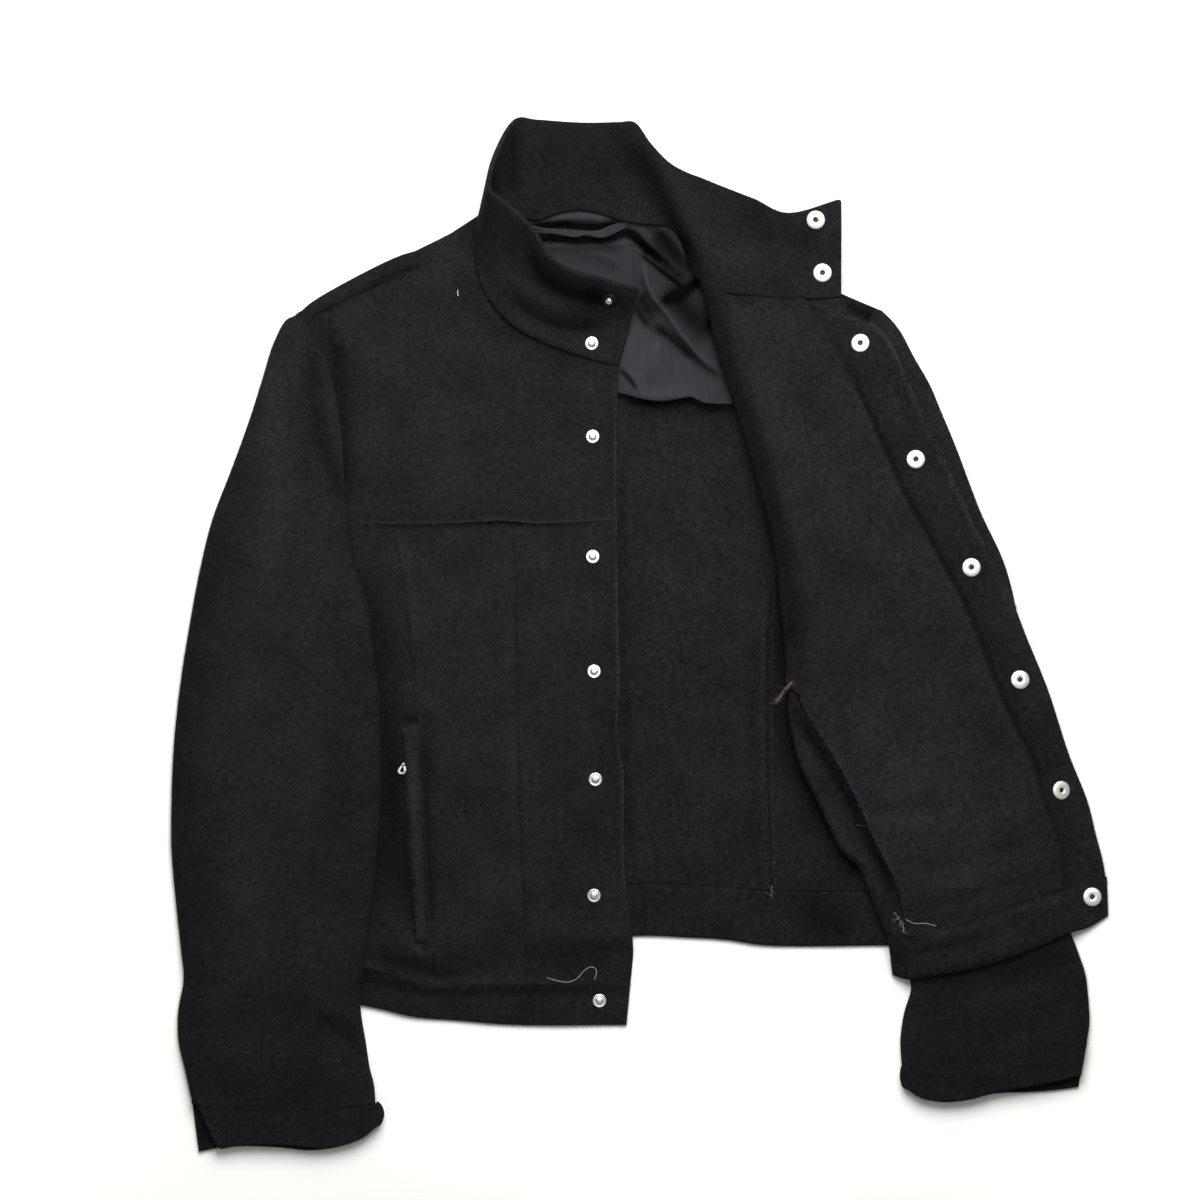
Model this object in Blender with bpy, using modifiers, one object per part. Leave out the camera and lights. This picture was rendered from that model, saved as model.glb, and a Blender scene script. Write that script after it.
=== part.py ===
"""Blouson of thick wool twill laid open on a surface. The right front lies closed over the back, and the
left front is turned back over its sleeve and shows its inside. X runs across, Y to the collar, Z up."""

import math

import bmesh
import bpy
import numpy as np
from mathutils import Vector

# Driving sizes, in metres
WOOL = 0.0022  # one ply of the twill
DOUBLE = 0.0036  # two plies pressed together: bands, cuffs, collar
SATIN = 0.0010  # lining and hanger loop
SEAM = 0.0003  # gap between pieces sewn edge to edge
REST = 0.0005  # gap between a piece and what it lies on
LOFT = 0.0030  # air between the two sides of a sleeve
SLEEVE_ROUND = 0.030  # width over which a sleeve rounds down to its edge
FOLD_ROLL = 0.0045  # radius of the left front's fold, at the middle of the cloth
CUFF_ROLL = 0.0028  # the same for the folded end of a cuff
CUFF_SLIT = 0.11  # share of its width by which a cuff's slit opens at the foot
UNDERARM = 0.095  # height up the garment at which the sleeves leave the armholes
SETTLE = 6  # passes that even out a piece where it steps over another

STUD = {"flange": 0.0054, "rim": 0.0011, "post": 0.0022, "height": 0.0036}
SOCKET = {"flange": 0.0070, "rim": 0.0010, "dome": 0.0050, "height": 0.0020, "hole": 0.0019}
SNAP_SIDES = 14

CELL = 0.002  # grid of the height map that pieces are laid on
HALF_SPAN = 0.42  # the height map reaches this far each way from the middle
LINE_POINTS = 97

# Seams and edges of the laid garment. Columns: across, up, in millimetres from the middle of its outline.
LINES = {
    "shoulder_right": [(-251, 240), (-215, 263), (-178, 281), (-155, 288), (-138, 299), (-124, 308)],
    "neck_right": [(-124, 308), (-124, 285), (-121, 262), (-104, 233), (-74, 215), (-40, 203), (-16, 197)],
    "armhole_right": [(-251, 240), (-243, 224), (-232, 203), (-222, 157), (-219, 115), (-216, 81)],
    "underarm_right": [(-256, 55), (-238, 63), (-216, 81)],
    "side_right": [(-256, 55), (-258, -41), (-256, -150), (-254, -237)],
    "front_edge_right": [(-16, 197), (-17, 84), (-15, -48), (-12, -104), (-12, -164), (-8, -213), (-7, -258)],
    "yoke_seam": [(-216, 81), (-104, 83), (-17, 84)],
    "panel_seam_outer": [(-184, 82), (-175, 38), (-169, -7), (-165, -54), (-160, -122), (-155, -215),
                         (-151, -260)],
    "panel_seam_inner": [(-95, 83), (-92, 40), (-91, -48), (-88, -147), (-84, -259)],
    "band_right_top": [(-254, -237), (-207, -248), (-172, -256), (-148, -260), (-69, -259), (-7, -258)],
    "band_right_foot": [(-252, -263), (-207, -274), (-168, -283), (-133, -287), (-92, -289), (-10, -289)],
    "welt_outer": [(-176, -69), (-172, -150), (-166, -226)],
    "welt_inner": [(-163, -67), (-160, -150), (-157, -229)],
    "back_top": [(-251, 240), (-215, 261), (-138, 297), (-100, 313), (-52, 312), (0, 305), (57, 295),
                 (136, 259), (173, 240)],
    "back_cut_right": [(-251, 240), (-243, 224), (-232, 203), (-222, 157), (-219, 118), (-195, 77),
                       (-177, 33), (-172, -64), (-174, -147), (-176, -202)],
    "back_cut_left": [(173, 240), (165, 224), (154, 203), (144, 157), (141, 118), (117, 77), (98, 33),
                      (94, -64), (96, -147), (98, -190)],
    "back_underarm_right": [(-256, 55), (-240, 63), (-227, 85), (-219, 116)],
    "back_underarm_left": [(141, 116), (149, 85), (162, 63), (178, 55)],
    "back_side_right": [(-256, 55), (-258, -41), (-256, -150), (-252, -222)],
    "back_side_left": [(178, 55), (182, -41), (185, -130), (187, -190)],
    "band_back_top": [(-252, -222), (-176, -202), (-6, -185), (48, -186), (98, -190), (187, -190)],
    "band_back_foot": [(-252, -258), (-163, -239), (-5, -223), (65, -226), (93, -229), (187, -230)],
    "lining_top": [(-110, 297), (-52, 308), (0, 301), (50, 284)],
    "lining_foot": [(-120, 182), (-60, 180), (-15, 179), (0, 175), (16, 173), (38, 176), (69, 171)],
    "loop_top": [(-78, 304), (-40, 303), (-10, 304)],
    "loop_foot": [(-78, 296), (-40, 293), (-14, 292)],
    "sleeve_right_out": [(-256, 237), (-280, 189), (-303, 122), (-326, 48), (-340, -33), (-347, -122),
                         (-347, -166), (-341, -233), (-341, -278), (-334, -333), (-328, -351)],
    "sleeve_right_in": [(-217, 95), (-203, 30), (-194, -33), (-192, -92), (-196, -181), (-206, -275),
                        (-198, -326), (-197, -347)],
    "armhole_left": [(173, 240), (165, 224), (154, 203), (144, 157), (141, 115), (140, 81)],
    "sleeve_left_out": [(178, 237), (203, 206), (235, 137), (272, 47), (290, -48), (307, -159),
                        (320, -224), (332, -267), (332, -290), (331, -301)],
    "sleeve_left_in": [(140, 95), (148, 30), (150, -33), (158, -92), (177, -150), (191, -200), (199, -257),
                       (193, -300), (195, -320)],
    "cuff_right_top": [(-328, -351), (-297, -352), (-255, -352), (-222, -350), (-197, -347)],
    "cuff_right_foot": [(-325, -382), (-289, -379), (-266, -380), (-244, -382), (-222, -379), (-199, -371)],
    "cuff_left_top": [(195, -320), (236, -318), (269, -316), (310, -306), (331, -301)],
    "cuff_left_foot": [(199, -340), (223, -346), (244, -344), (285, -339), (325, -333)],
    "turned_side": [(171, 239), (164, 224), (153, 203), (143, 157), (140, 115), (150, 83), (176, 52),
                    (181, -41), (186, -150), (200, -218)],
    "turned_fold": [(50, 255), (67, 189), (84, 134), (101, 73), (109, 4), (111, -41), (118, -93),
                    (140, -139), (163, -172), (183, -219)],
    "turned_inner": [(55, 255), (73, 189), (90, 134), (107, 73), (114, 4), (118, -44), (137, -80),
                     (158, -120), (183, -167), (197, -219)],
    "turned_facing": [(125, 247), (152, 198), (180, 135), (208, 78), (243, 12), (277, -70), (297, -123),
                      (312, -187)],
    "turned_edge": [(149, 248), (178, 226), (195, 197), (220, 139), (244, 87), (275, 26), (302, -40),
                    (325, -104), (338, -147), (345, -178)],
    "band_left_top": [(183, -222), (196, -222), (219, -220), (244, -211), (285, -194), (312, -188),
                      (346, -179)],
    "band_left_foot": [(187, -252), (219, -252), (252, -246), (302, -228), (347, -208)],
}

# Main folds of the cloth. Columns: piece, from, to (across, up in mm), half width and height in mm.
FOLDS = [
    ("lining_back", (-6, 288), (63, 189), 7, 4.5),
    ("lining_back", (-62, 282), (-30, 262), 9, 1.6),
    ("sleeve_right_top", (-292, 120), (-322, -60), 16, 2.2),
    ("sleeve_right_top", (-324, -110), (-318, -300), 16, 1.8),
    ("sleeve_right_top", (-230, -262), (-205, -305), 9, 2.0),
    ("sleeve_left_top", (205, -275), (300, -262), 14, 1.8),
    ("front_right_middle", (-165, -40), (-140, -75), 12, 1.6),
    ("front_right_yoke", (-150, 262), (-120, 180), 18, 1.8),
    ("front_left", (133, 238), (173, 229), 9, 2.4),
    ("front_left", (165, -131), (235, -128), 10, 2.0),
]

# Collar sections from its right end round the back of the neck to its left end, at the middle of the cloth.
# Columns: foot across, up and height, top across, up and height (mm), and how late the section turns up.
COLLAR = [
    (-16, 199, 6.2, -2, 255, 20, 1.6),
    (-40, 205, 6.2, -36, 263, 23, 1.7),
    (-73, 217, 6.2, -64, 275, 29, 1.7),
    (-102, 236, 6.4, -77, 295, 38, 1.6),
    (-118, 263, 6.8, -99, 314, 48, 1.3),
    (-120, 286, 6.8, -110, 325, 52, 1.1),
    (-117, 311, 5.0, -107, 348, 44, 1.1),
    (-98, 315.5, 3.4, -93, 378, 20, 1.2),
    (-52, 313, 2.2, -52, 379, 6, 1.4),
    (0, 306, 2.4, -3, 378, 2.4, 1.0),
    (30, 302, 6.0, 19, 353, 2.4, 1.0),
    (44, 276, 9.5, 36, 343, 2.4, 1.0),
    (58, 257.5, 12.2, 52, 337, 2.4, 1.0),
    (90, 253, 12.6, 78, 327, 2.4, 1.0),
    (122, 249, 12.0, 111, 314, 2.6, 1.0),
    (149, 249.5, 10.5, 149, 323, 2.6, 1.0),
]
COLLAR_COLUMNS = 42
COLLAR_ROWS = 4

# Snap places. Columns: across, up, in millimetres.
STUDS = [(-24, 245), (-36, 217), (-35, 147), (-35, 58), (-34, -27), (-33, -107), (-34, -193), (-30, -273)]
SOCKETS = [(130, 306), (135, 269), (163, 216), (204, 130), (245, 50), (281, -33), (312, -115), (333, -194)]

# Colour, roughness and metallic value of each finish
FINISH = {
    "wool": ((0.012, 0.012, 0.014, 1.0), 0.95, 0.0),
    "satin": ((0.045, 0.050, 0.046, 1.0), 0.45, 0.0),
    "snap_metal": ((0.80, 0.79, 0.76, 1.0), 0.25, 1.0),
}


def even(points, count=LINE_POINTS):
    """The line through the points, cut into equal steps along its length."""
    steps = np.linalg.norm(np.diff(points, axis=0), axis=1)
    along = np.concatenate([[0.0], np.cumsum(steps)])
    places = np.linspace(0.0, along[-1], count)
    return np.stack([np.interp(places, along, column) for column in points.T], axis=1)


def smooth(rows, steps=24):
    """A smooth curve through the rows: cubic pieces whose slope at a row follows its neighbours."""
    rows = np.asarray(rows, float)
    gaps = np.linalg.norm(np.diff(rows[:, :2], axis=0), axis=1)
    knots = np.concatenate([[0.0], np.cumsum(np.sqrt(gaps))])
    slope = np.gradient(rows, knots, axis=0)
    place = np.linspace(0.0, knots[-1], steps * (len(rows) - 1) + 1)
    k = np.clip(np.searchsorted(knots, place, side="right") - 1, 0, len(rows) - 2)
    span = (knots[k + 1] - knots[k])[:, None]
    t = (place - knots[k])[:, None] / span
    return (
        (2 * t**3 - 3 * t**2 + 1) * rows[k]
        + (t**3 - 2 * t**2 + t) * span * slope[k]
        + (3 * t**2 - 2 * t**3) * rows[k + 1]
        + (t**3 - t**2) * span * slope[k + 1]
    )


def line(name):
    """A named line, in metres."""
    return even(smooth(LINES[name])) / 1000.0


def straight(start, end):
    """A straight line between two points."""
    return np.linspace(start, end, LINE_POINTS)


def joined(first, second):
    """Two lines end to end, each with half of the points, so that their corner stays sharp."""
    half = LINE_POINTS // 2 + 1
    return np.concatenate([even(first, half), even(second, half)[1:]])


def across(name, start, end):
    """The stretch of a named line between two places across the garment."""
    whole = line(name)
    places = np.linspace(start, end, LINE_POINTS)
    return np.stack([places, np.interp(places, whole[:, 0], whole[:, 1])], axis=1)


def down(name, start, end):
    """The stretch of a named falling line between two heights."""
    whole = line(name)
    places = np.linspace(start, end, LINE_POINTS)
    return np.stack([np.interp(-places, -whole[:, 1], whole[:, 0]), places], axis=1)


def at(edge, places):
    """Points of an edge at fractions of its length."""
    steps = np.linspace(0.0, 1.0, len(edge))
    return np.stack([np.interp(places, steps, column) for column in edge.T], axis=-1)


def unit(vectors):
    """Vectors made one long."""
    return vectors / np.maximum(np.linalg.norm(vectors, axis=-1, keepdims=True), 1e-9)


def drawn_in(plan, gap):
    """The grid with each border point moved towards its inner neighbour by the gap."""
    plan = plan.copy()
    for border, inner in ((0, 1), (-1, -2)):
        plan[border] += gap * unit(plan[inner] - plan[border])
        plan[:, border] += gap * unit(plan[:, inner] - plan[:, border])
    return plan


def fitted(edge, start, end):
    """The edge shifted gradually so that it runs from start to end."""
    share = np.linspace(0.0, 1.0, len(edge))[:, None]
    return edge + (1 - share) * (start - edge[0]) + share * (end - edge[-1])


def hung(name, top, foot):
    """A named falling line with its ends moved onto the named lines above and below it."""
    edge = line(name)
    ends = []
    for end, other in ((edge[0], line(top)), (edge[-1], line(foot))):
        ends.append(np.array([end[0], np.interp(end[0], other[:, 0], other[:, 1])]))
    return fitted(edge, *ends)


def patch(top, foot, left, right, columns, rows):
    """A grid filled in between four edges, drawn in by half a seam gap on every side."""
    top = fitted(top, left[0], right[0])
    foot = fitted(foot, left[-1], right[-1])
    u = np.linspace(0.0, 1.0, columns + 1)
    v = np.linspace(0.0, 1.0, rows + 1)
    over, fall = u[None, :, None], v[:, None, None]
    lofted = (1 - fall) * at(top, u)[None] + fall * at(foot, u)[None]
    ruled = (1 - over) * at(left, v)[:, None] + over * at(right, v)[:, None]
    corners = (1 - fall) * ((1 - over) * top[0] + over * top[-1])
    corners = corners + fall * ((1 - over) * foot[0] + over * foot[-1])
    return drawn_in(lofted + ruled - corners, SEAM / 2)


def strip(top, foot, columns, rows):
    """A patch with straight ends."""
    return patch(top, foot, straight(top[0], foot[0]), straight(top[-1], foot[-1]), columns, rows)


def panel(top, foot, left, right, columns, rows):
    """A patch whose foot is the stretch of a named line between its two sides."""
    return patch(top, across(foot, left[-1, 0], right[-1, 0]), left, right, columns, rows)


def spread(grid, count):
    """Points spread evenly inside every cell of a grid."""
    s = np.linspace(0.0, 1.0, count)[None, None, :, None, None]
    t = np.linspace(0.0, 1.0, count)[None, None, None, :, None]
    upper = (1 - t) * grid[:-1, :-1, None, None] + t * grid[:-1, 1:, None, None]
    lower = (1 - t) * grid[1:, :-1, None, None] + t * grid[1:, 1:, None, None]
    return (1 - s) * upper + s * lower


class Pile:
    """The height of what lies on the surface so far, on a fine grid."""

    def __init__(self):
        self.count = int(2 * HALF_SPAN / CELL)
        self.height = np.zeros((self.count, self.count))

    def cells(self, points):
        """Row and column of the cell that each point is over."""
        index = ((points[..., :2] + HALF_SPAN) / CELL).astype(int)
        return index[..., 1], index[..., 0]

    def samples(self, grid):
        """Points less than a cell apart all over a grid."""
        longest = max(np.linalg.norm(np.diff(grid[..., :2], axis=k), axis=-1).max() for k in (0, 1))
        return spread(grid, int(longest / CELL) + 2)

    def under(self, plan):
        """For each point of a grid, the highest thing below the cells that meet there."""
        tall, n = np.pad(self.height, 1, mode="edge"), self.count
        near = np.max([tall[j : j + n, i : i + n] for j in range(3) for i in range(3)], axis=0)
        cell = np.pad(near[self.cells(self.samples(plan))].max(axis=(2, 3)), 1, mode="edge")
        return np.max([cell[:-1, :-1], cell[:-1, 1:], cell[1:, :-1], cell[1:, 1:]], axis=0)

    def add(self, grid, thickness):
        """Put a piece on the pile, given its grid and how far its top is above that."""
        z = grid[..., 2]
        twist = np.abs(z[:-1, :-1] + z[1:, 1:] - z[:-1, 1:] - z[1:, :-1]) / 4
        points = self.samples(grid)
        top = points[..., 2] + twist[:, :, None, None] + thickness
        np.maximum.at(self.height, self.cells(points), top)

    def seat(self, centre, radius):
        """The plane that lies on the cloth round a place: a point of it above the place, and its normal."""
        turn = np.linspace(0.0, 2 * math.pi, 24, endpoint=False)
        ring = np.stack([np.cos(turn), np.sin(turn)], axis=-1)
        points = np.concatenate([centre + radius * share * ring for share in (0.3, 0.65, 1.0)])
        z = self.height[self.cells(points)]
        flat = np.column_stack([points - centre, np.ones(len(points))])
        slope = np.linalg.lstsq(flat, z, rcond=None)[0]
        raised = slope[2] + (z - flat @ slope).max()
        return (*centre, raised + REST), Vector((-slope[0], -slope[1], 1.0)).normalized()


def ridges(name, plan):
    """Rise of a piece's main folds: a soft hump about each fold's line."""
    rise = np.zeros(plan.shape[:2])
    for piece, start, end, width, height in FOLDS:
        if piece == name:
            a, b = np.array(start) / 1000.0, np.array(end) / 1000.0
            share = np.clip((plan[..., :2] - a) @ (b - a) / ((b - a) @ (b - a)), 0.0, 1.0)
            away = np.linalg.norm(plan[..., :2] - a - share[..., None] * (b - a), axis=-1)
            rise += height / 1000.0 * np.exp(-((away * 1000.0 / width) ** 2))
    return rise


def settled(low):
    """Heights no lower than low, evened out as a stiff cloth bridges a step."""
    z = low.copy()
    for _ in range(SETTLE):
        wide = np.pad(z, 1, mode="edge")
        mean = (wide[:-2, 1:-1] + wide[2:, 1:-1] + wide[1:-1, :-2] + wide[1:-1, 2:]) / 4
        z = np.maximum(low, mean)
    return z


def laid(name, plan, pile, lift=0.0):
    """The plan grid resting on the pile, with its own folds and lift."""
    below = pile.under(plan)
    z = settled(np.where(below > 0.0, below + REST, 0.0)) + ridges(name, plan) + lift
    return np.concatenate([plan, z[..., None]], axis=-1)


def finish(name):
    """A plain material for one cloth or metal."""
    colour, roughness, metallic = FINISH[name]
    made = bpy.data.materials.new(name)
    made.use_nodes = True
    shader = made.node_tree.nodes["Principled BSDF"]
    shader.inputs["Base Color"].default_value = colour
    shader.inputs["Roughness"].default_value = roughness
    shader.inputs["Metallic"].default_value = metallic
    return made


def add_piece(name, mesh, finish_name):
    """A named object with its own material, under the garment's empty."""
    piece = bpy.data.objects.new(name, mesh)
    own = finish(finish_name)
    own.name = f"{name}_{finish_name}"
    mesh.materials.append(own)
    garment.objects.link(piece)
    piece.parent = root
    return piece


def placed_grid(grid):
    """A mesh grid with its points moved to the places given."""
    rows, columns = grid.shape[0] - 1, grid.shape[1] - 1
    bm = bmesh.new()
    bmesh.ops.create_grid(bm, x_segments=columns, y_segments=rows, size=1.0)
    for vert in bm.verts:
        column = round((vert.co.x + 1) / 2 * columns)
        row = round((1 - vert.co.y) / 2 * rows)
        vert.co = grid[row, column]
    return bm


def finished(bm, name):
    """The bmesh as a smooth-shaded mesh with its cut edges sharp."""
    mesh = bpy.data.meshes.new(name)
    bm.to_mesh(mesh)
    bm.free()
    mesh.shade_smooth()
    mesh.set_sharp_from_angle(angle=math.radians(40))
    return mesh


def add_flat(name, grid, thickness, finish_name="wool"):
    """A laid piece: its underside raised straight up by the cloth's thickness."""
    bm = placed_grid(grid)
    raised = bmesh.ops.extrude_face_region(bm, geom=bm.faces[:])
    top = [item for item in raised["geom"] if isinstance(item, bmesh.types.BMVert)]
    bmesh.ops.translate(bm, verts=top, vec=(0.0, 0.0, thickness))
    bmesh.ops.recalc_face_normals(bm, faces=bm.faces[:])
    add_piece(name, finished(bm, name), finish_name)


def add_curved(name, grid, thickness):
    """A folded or standing piece: the middle of its cloth, thickened both ways."""
    piece = add_piece(name, finished(placed_grid(grid), name), "wool")
    cloth = piece.modifiers.new("cloth", "SOLIDIFY")
    cloth.thickness = thickness
    cloth.offset = 0.0


def lay_group(plans, pile, thickness, finish_name="wool"):
    """Lay pieces that are side by side, each on what was there before the group."""
    grids = {name: laid(name, plan, pile) for name, plan in plans.items()}
    for name, grid in grids.items():
        ply = DOUBLE if name.startswith("hem_band") else thickness
        pile.add(grid, ply)
        add_flat(name, grid, ply, finish_name)


def lay_back(pile, rows=14, armhole=4):
    """Centre back, side backs and back band, flat on the surface. The side backs share the points of the
    centre's edges below the armholes."""
    right, left = even(line("back_cut_right"), rows + 1), even(line("back_cut_left"), rows + 1)
    sides = {
        "right": (line("back_side_right"), right[armhole:]),
        "left": (left[armhole:], line("back_side_left")),
    }
    band = "band_back_top"
    lay_group({
        "back_centre": panel(line("back_top"), band, right, left, 10, rows),
        **{f"back_side_{side}": panel(line(f"back_underarm_{side}"), band, *edges, 3, rows - armhole)
           for side, edges in sides.items()},
        "hem_band_back": strip(line(band), line("band_back_foot"), 14, 2),
    }, pile, WOOL)


def lay_lining(pile):
    """Half lining on the inside of the back, and the hanger loop on it."""
    lay_group({"lining_back": strip(line("lining_top"), line("lining_foot"), 14, 10)}, pile, SATIN, "satin")
    lay_group({"hanger_loop": strip(line("loop_top"), line("loop_foot"), 14, 1)}, pile, SATIN, "satin")


def lay_right_front(pile):
    """Yoke, three panels and band of the closed front, with the pocket welt on them."""
    yoke_seam = line("yoke_seam")
    edge = line("front_edge_right")
    upper_edge = down("front_edge_right", edge[0, 1], yoke_seam[-1, 1])
    lower_edge = down("front_edge_right", yoke_seam[-1, 1], edge[-1, 1])
    outer = hung("panel_seam_outer", "yoke_seam", "band_right_top")
    inner = hung("panel_seam_inner", "yoke_seam", "band_right_top")
    underarm = joined(line("underarm_right"), across("yoke_seam", yoke_seam[0, 0], outer[0, 0]))
    neck_and_edge = joined(line("neck_right"), upper_edge)
    band = "band_right_top"
    lay_group({
        "front_right_yoke": patch(
            line("shoulder_right"), yoke_seam, line("armhole_right"), neck_and_edge, 9, 16),
        "front_right_side": panel(underarm, band, line("side_right"), outer, 4, 15),
        "front_right_middle": panel(
            across("yoke_seam", outer[0, 0], inner[0, 0]), band, outer, inner, 4, 15),
        "front_right_centre": panel(
            across("yoke_seam", inner[0, 0], edge[0, 0]), band, inner, lower_edge, 4, 15),
        "hem_band_right": strip(line(band), line("band_right_foot"), 14, 2),
    }, pile, WOOL)
    outer_side, inner_side = line("welt_outer"), line("welt_inner")
    ends = [straight(outer_side[k], inner_side[k]) for k in (0, -1)]
    lay_group({"pocket_welt_right": patch(*ends, outer_side, inner_side, 2, 8)}, pile, WOOL)


def rounding(distance):
    """A quarter circle from nothing at a sleeve's edge to full height a rounding's width in."""
    share = np.clip(distance / SLEEVE_ROUND, 0.0, 1.0)
    return np.sqrt(1.0 - (1.0 - share) ** 2)


def lay_sleeve(side, pile, columns=7, rows=22, first_under=6):
    """Under sleeve and top sleeve. The top one rises by the loft and rounds down to its free edges."""
    armhole = down(f"armhole_{side}", line(f"armhole_{side}")[0, 1], UNDERARM)
    inner = even(np.concatenate([armhole, line(f"sleeve_{side}_in")[1:]]))
    edges = [line(f"sleeve_{side}_out"), inner]
    if side == "left":
        edges.reverse()
    head = straight(edges[0][0], edges[1][0])
    plan = patch(head, line(f"cuff_{side}_top"), *edges, columns, rows)
    under = laid(f"sleeve_{side}_under", drawn_in(plan[first_under:], REST), pile)
    pile.add(under, WOOL)
    add_flat(f"sleeve_{side}_under", under, WOOL)
    rise = [rounding(np.linalg.norm(plan - plan[:, k : k + 1], axis=-1)) for k in (0, columns)]
    if side == "left":
        rise.reverse()
    free = np.clip(np.arange(rows + 1) / first_under, 0.0, 1.0)[:, None] ** 4
    lift = LOFT * rise[0] * (1.0 - free * (1.0 - rise[1]))
    top = laid(f"sleeve_{side}_top", plan, pile, lift)
    pile.add(top, WOOL)
    add_flat(f"sleeve_{side}_top", top, WOOL)


def half_turn(start, way, roll, steps=5):
    """Points round a fold, from the lower cloth to the upper, bulging along way."""
    angle = np.linspace(0.0, math.pi, steps + 2)[1:-1]
    out = roll * np.sin(angle)[None, :, None] * way[:, None]
    up = roll * (1 - np.cos(angle))[None, :, None] * np.array([0.0, 0.0, 1.0])
    return start[:, None] + out + up


def add_cuff(side, pile, columns=9, rows=2):
    """A cuff folded at one end and slit at the other, its lower half on the surface."""
    plan = strip(line(f"cuff_{side}_top"), line(f"cuff_{side}_foot"), columns, rows)
    plan = drawn_in(plan, SEAM)
    if side == "right":
        plan = plan[:, ::-1]
    low = np.concatenate([plan, np.full((*plan.shape[:2], 1), DOUBLE / 2)], axis=-1)
    fall = np.linspace(0.0, 1.0, rows + 1)[:, None, None]
    high = low[:, :1] + (low - low[:, :1]) * (1.0 - CUFF_SLIT * fall)
    high[..., 2] += 2 * CUFF_ROLL
    fold = half_turn(low[:, 0], unit(low[:, 0] - low[:, 1]), CUFF_ROLL)
    pile.add(high, DOUBLE / 2)
    add_curved(f"cuff_{side}", np.concatenate([low[:, ::-1], fold, high], axis=1), DOUBLE)


def normals(grid):
    """Upward unit normals of a grid whose rows run down the garment."""
    return unit(np.cross(np.gradient(grid, axis=1), -np.gradient(grid, axis=0)))


def lay_turned_front(pile, rows=22):
    """The left front: its lower part on the back, the roll at the fold, and the part that is turned back
    over the sleeve with the inside panel on it."""
    v = np.linspace(0.0, 1.0, rows + 1)
    side, fold, inner, facing, edge = (
        at(line(f"turned_{name}"), v) for name in ("side", "fold", "inner", "facing", "edge")
    )
    plan = np.stack([side + (fold - side) * share for share in np.linspace(0.0, 1.0, 6)], axis=1)
    low = laid("front_left_lower", drawn_in(plan, SEAM), pile)
    low[..., 2] += WOOL / 2
    pile.add(low, WOOL / 2)
    lay_sleeve("left", pile)

    steps = [(fold, inner, 1), (inner, facing, 7), (facing, edge, 3)]
    columns = [fold] + [a + (b - a) * (k + 1) / count for a, b, count in steps for k in range(count)]
    plan = np.stack(columns, axis=1)
    band_top = line("band_left_top")
    gap = np.interp(plan[-1, :, 0], band_top[:, 0], band_top[:, 1]) + 2 * SEAM - plan[-1, :, 1]
    plan[..., 1] += np.clip((v - 0.7) / 0.3, 0.0, 1.0)[:, None] * gap
    lowest = pile.under(plan) + REST + WOOL / 2
    lowest[:, 0] = np.maximum(lowest[:, 0], low[:, -1, 2] + 2 * FOLD_ROLL)
    high = np.concatenate([plan, (settled(lowest) + ridges("front_left", plan))[..., None]], axis=-1)
    lay_group({"hem_band_left": strip(band_top, line("band_left_foot"), 10, 2)}, pile, WOOL)

    way = unit(np.concatenate([fold - edge, np.zeros((rows + 1, 1))], axis=-1))
    roll = (high[:, 0, 2] - low[:, -1, 2]) / 2
    turn = half_turn(low[:, -1], way, roll[:, None, None])
    add_curved("front_left", np.concatenate([low, turn, high], axis=1), WOOL)
    pile.add(high, WOOL / 2)
    inside = (high + normals(high) * (WOOL + REST))[:, 1:9]
    pile.add(inside, WOOL / 2)
    add_curved("front_left_inside", drawn_in(inside, SEAM), WOOL)


def add_collar(pile):
    """The stand collar: each section rises from its foot to its top, turning up early or late."""
    table = smooth(COLLAR)
    table = np.stack([np.interp(np.linspace(0, 1, COLLAR_COLUMNS + 1), np.linspace(0, 1, len(table)), column)
                      for column in table.T], axis=1)
    foot, top, late = table[:, :3] / 1000.0, table[:, 3:6] / 1000.0, table[:, 6]
    share = np.linspace(1.0, 0.0, COLLAR_ROWS + 1)[:, None, None]
    grid = foot + (top - foot) * share
    grid[..., 2] = foot[:, 2] + (top - foot)[:, 2] * share[..., 0] ** late
    pile.add(grid, DOUBLE / 2)
    add_curved("collar", grid, DOUBLE)


def add_snap(name, profile, place, pile):
    """A turned snap half, seated square on the cloth."""
    mesh = bpy.data.meshes.new(name)
    points = [(radius, 0.0, height) for radius, height in profile]
    mesh.from_pydata(points, [(k, k + 1) for k in range(len(points) - 1)], [])
    snap = add_piece(name, mesh, "snap_metal")
    widest = max(radius for radius, _ in profile)
    snap.location, facing = pile.seat(np.array(place) / 1000.0, widest)
    snap.rotation_euler = Vector((0.0, 0.0, 1.0)).rotation_difference(facing).to_euler()
    turn = snap.modifiers.new("turned", "SCREW")
    turn.steps = turn.render_steps = SNAP_SIDES
    turn.use_merge_vertices = True
    turn.merge_threshold = 0.00001
    turn.use_smooth_shade = True


def add_snaps(pile):
    """Studs down the closed front and sockets down the turned one, both from the collar to the hem."""
    stud = [
        (0.0, STUD["height"]), (STUD["post"], STUD["height"]), (STUD["post"], STUD["rim"]),
        (STUD["flange"], STUD["rim"]), (STUD["flange"], 0.0), (0.0, 0.0),
    ]
    socket = [
        (0.0, SOCKET["rim"]), (SOCKET["hole"], SOCKET["rim"]), (SOCKET["hole"], SOCKET["height"]),
        (SOCKET["dome"], SOCKET["height"]), (SOCKET["flange"], SOCKET["rim"]), (SOCKET["flange"], 0.0),
        (0.0, 0.0),
    ]
    for kind, profile, places in (("stud", stud, STUDS), ("socket", socket, SOCKETS)):
        for number, place in enumerate(places, 1):
            add_snap(f"snap_{kind}_{number}", profile, place, pile)


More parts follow.
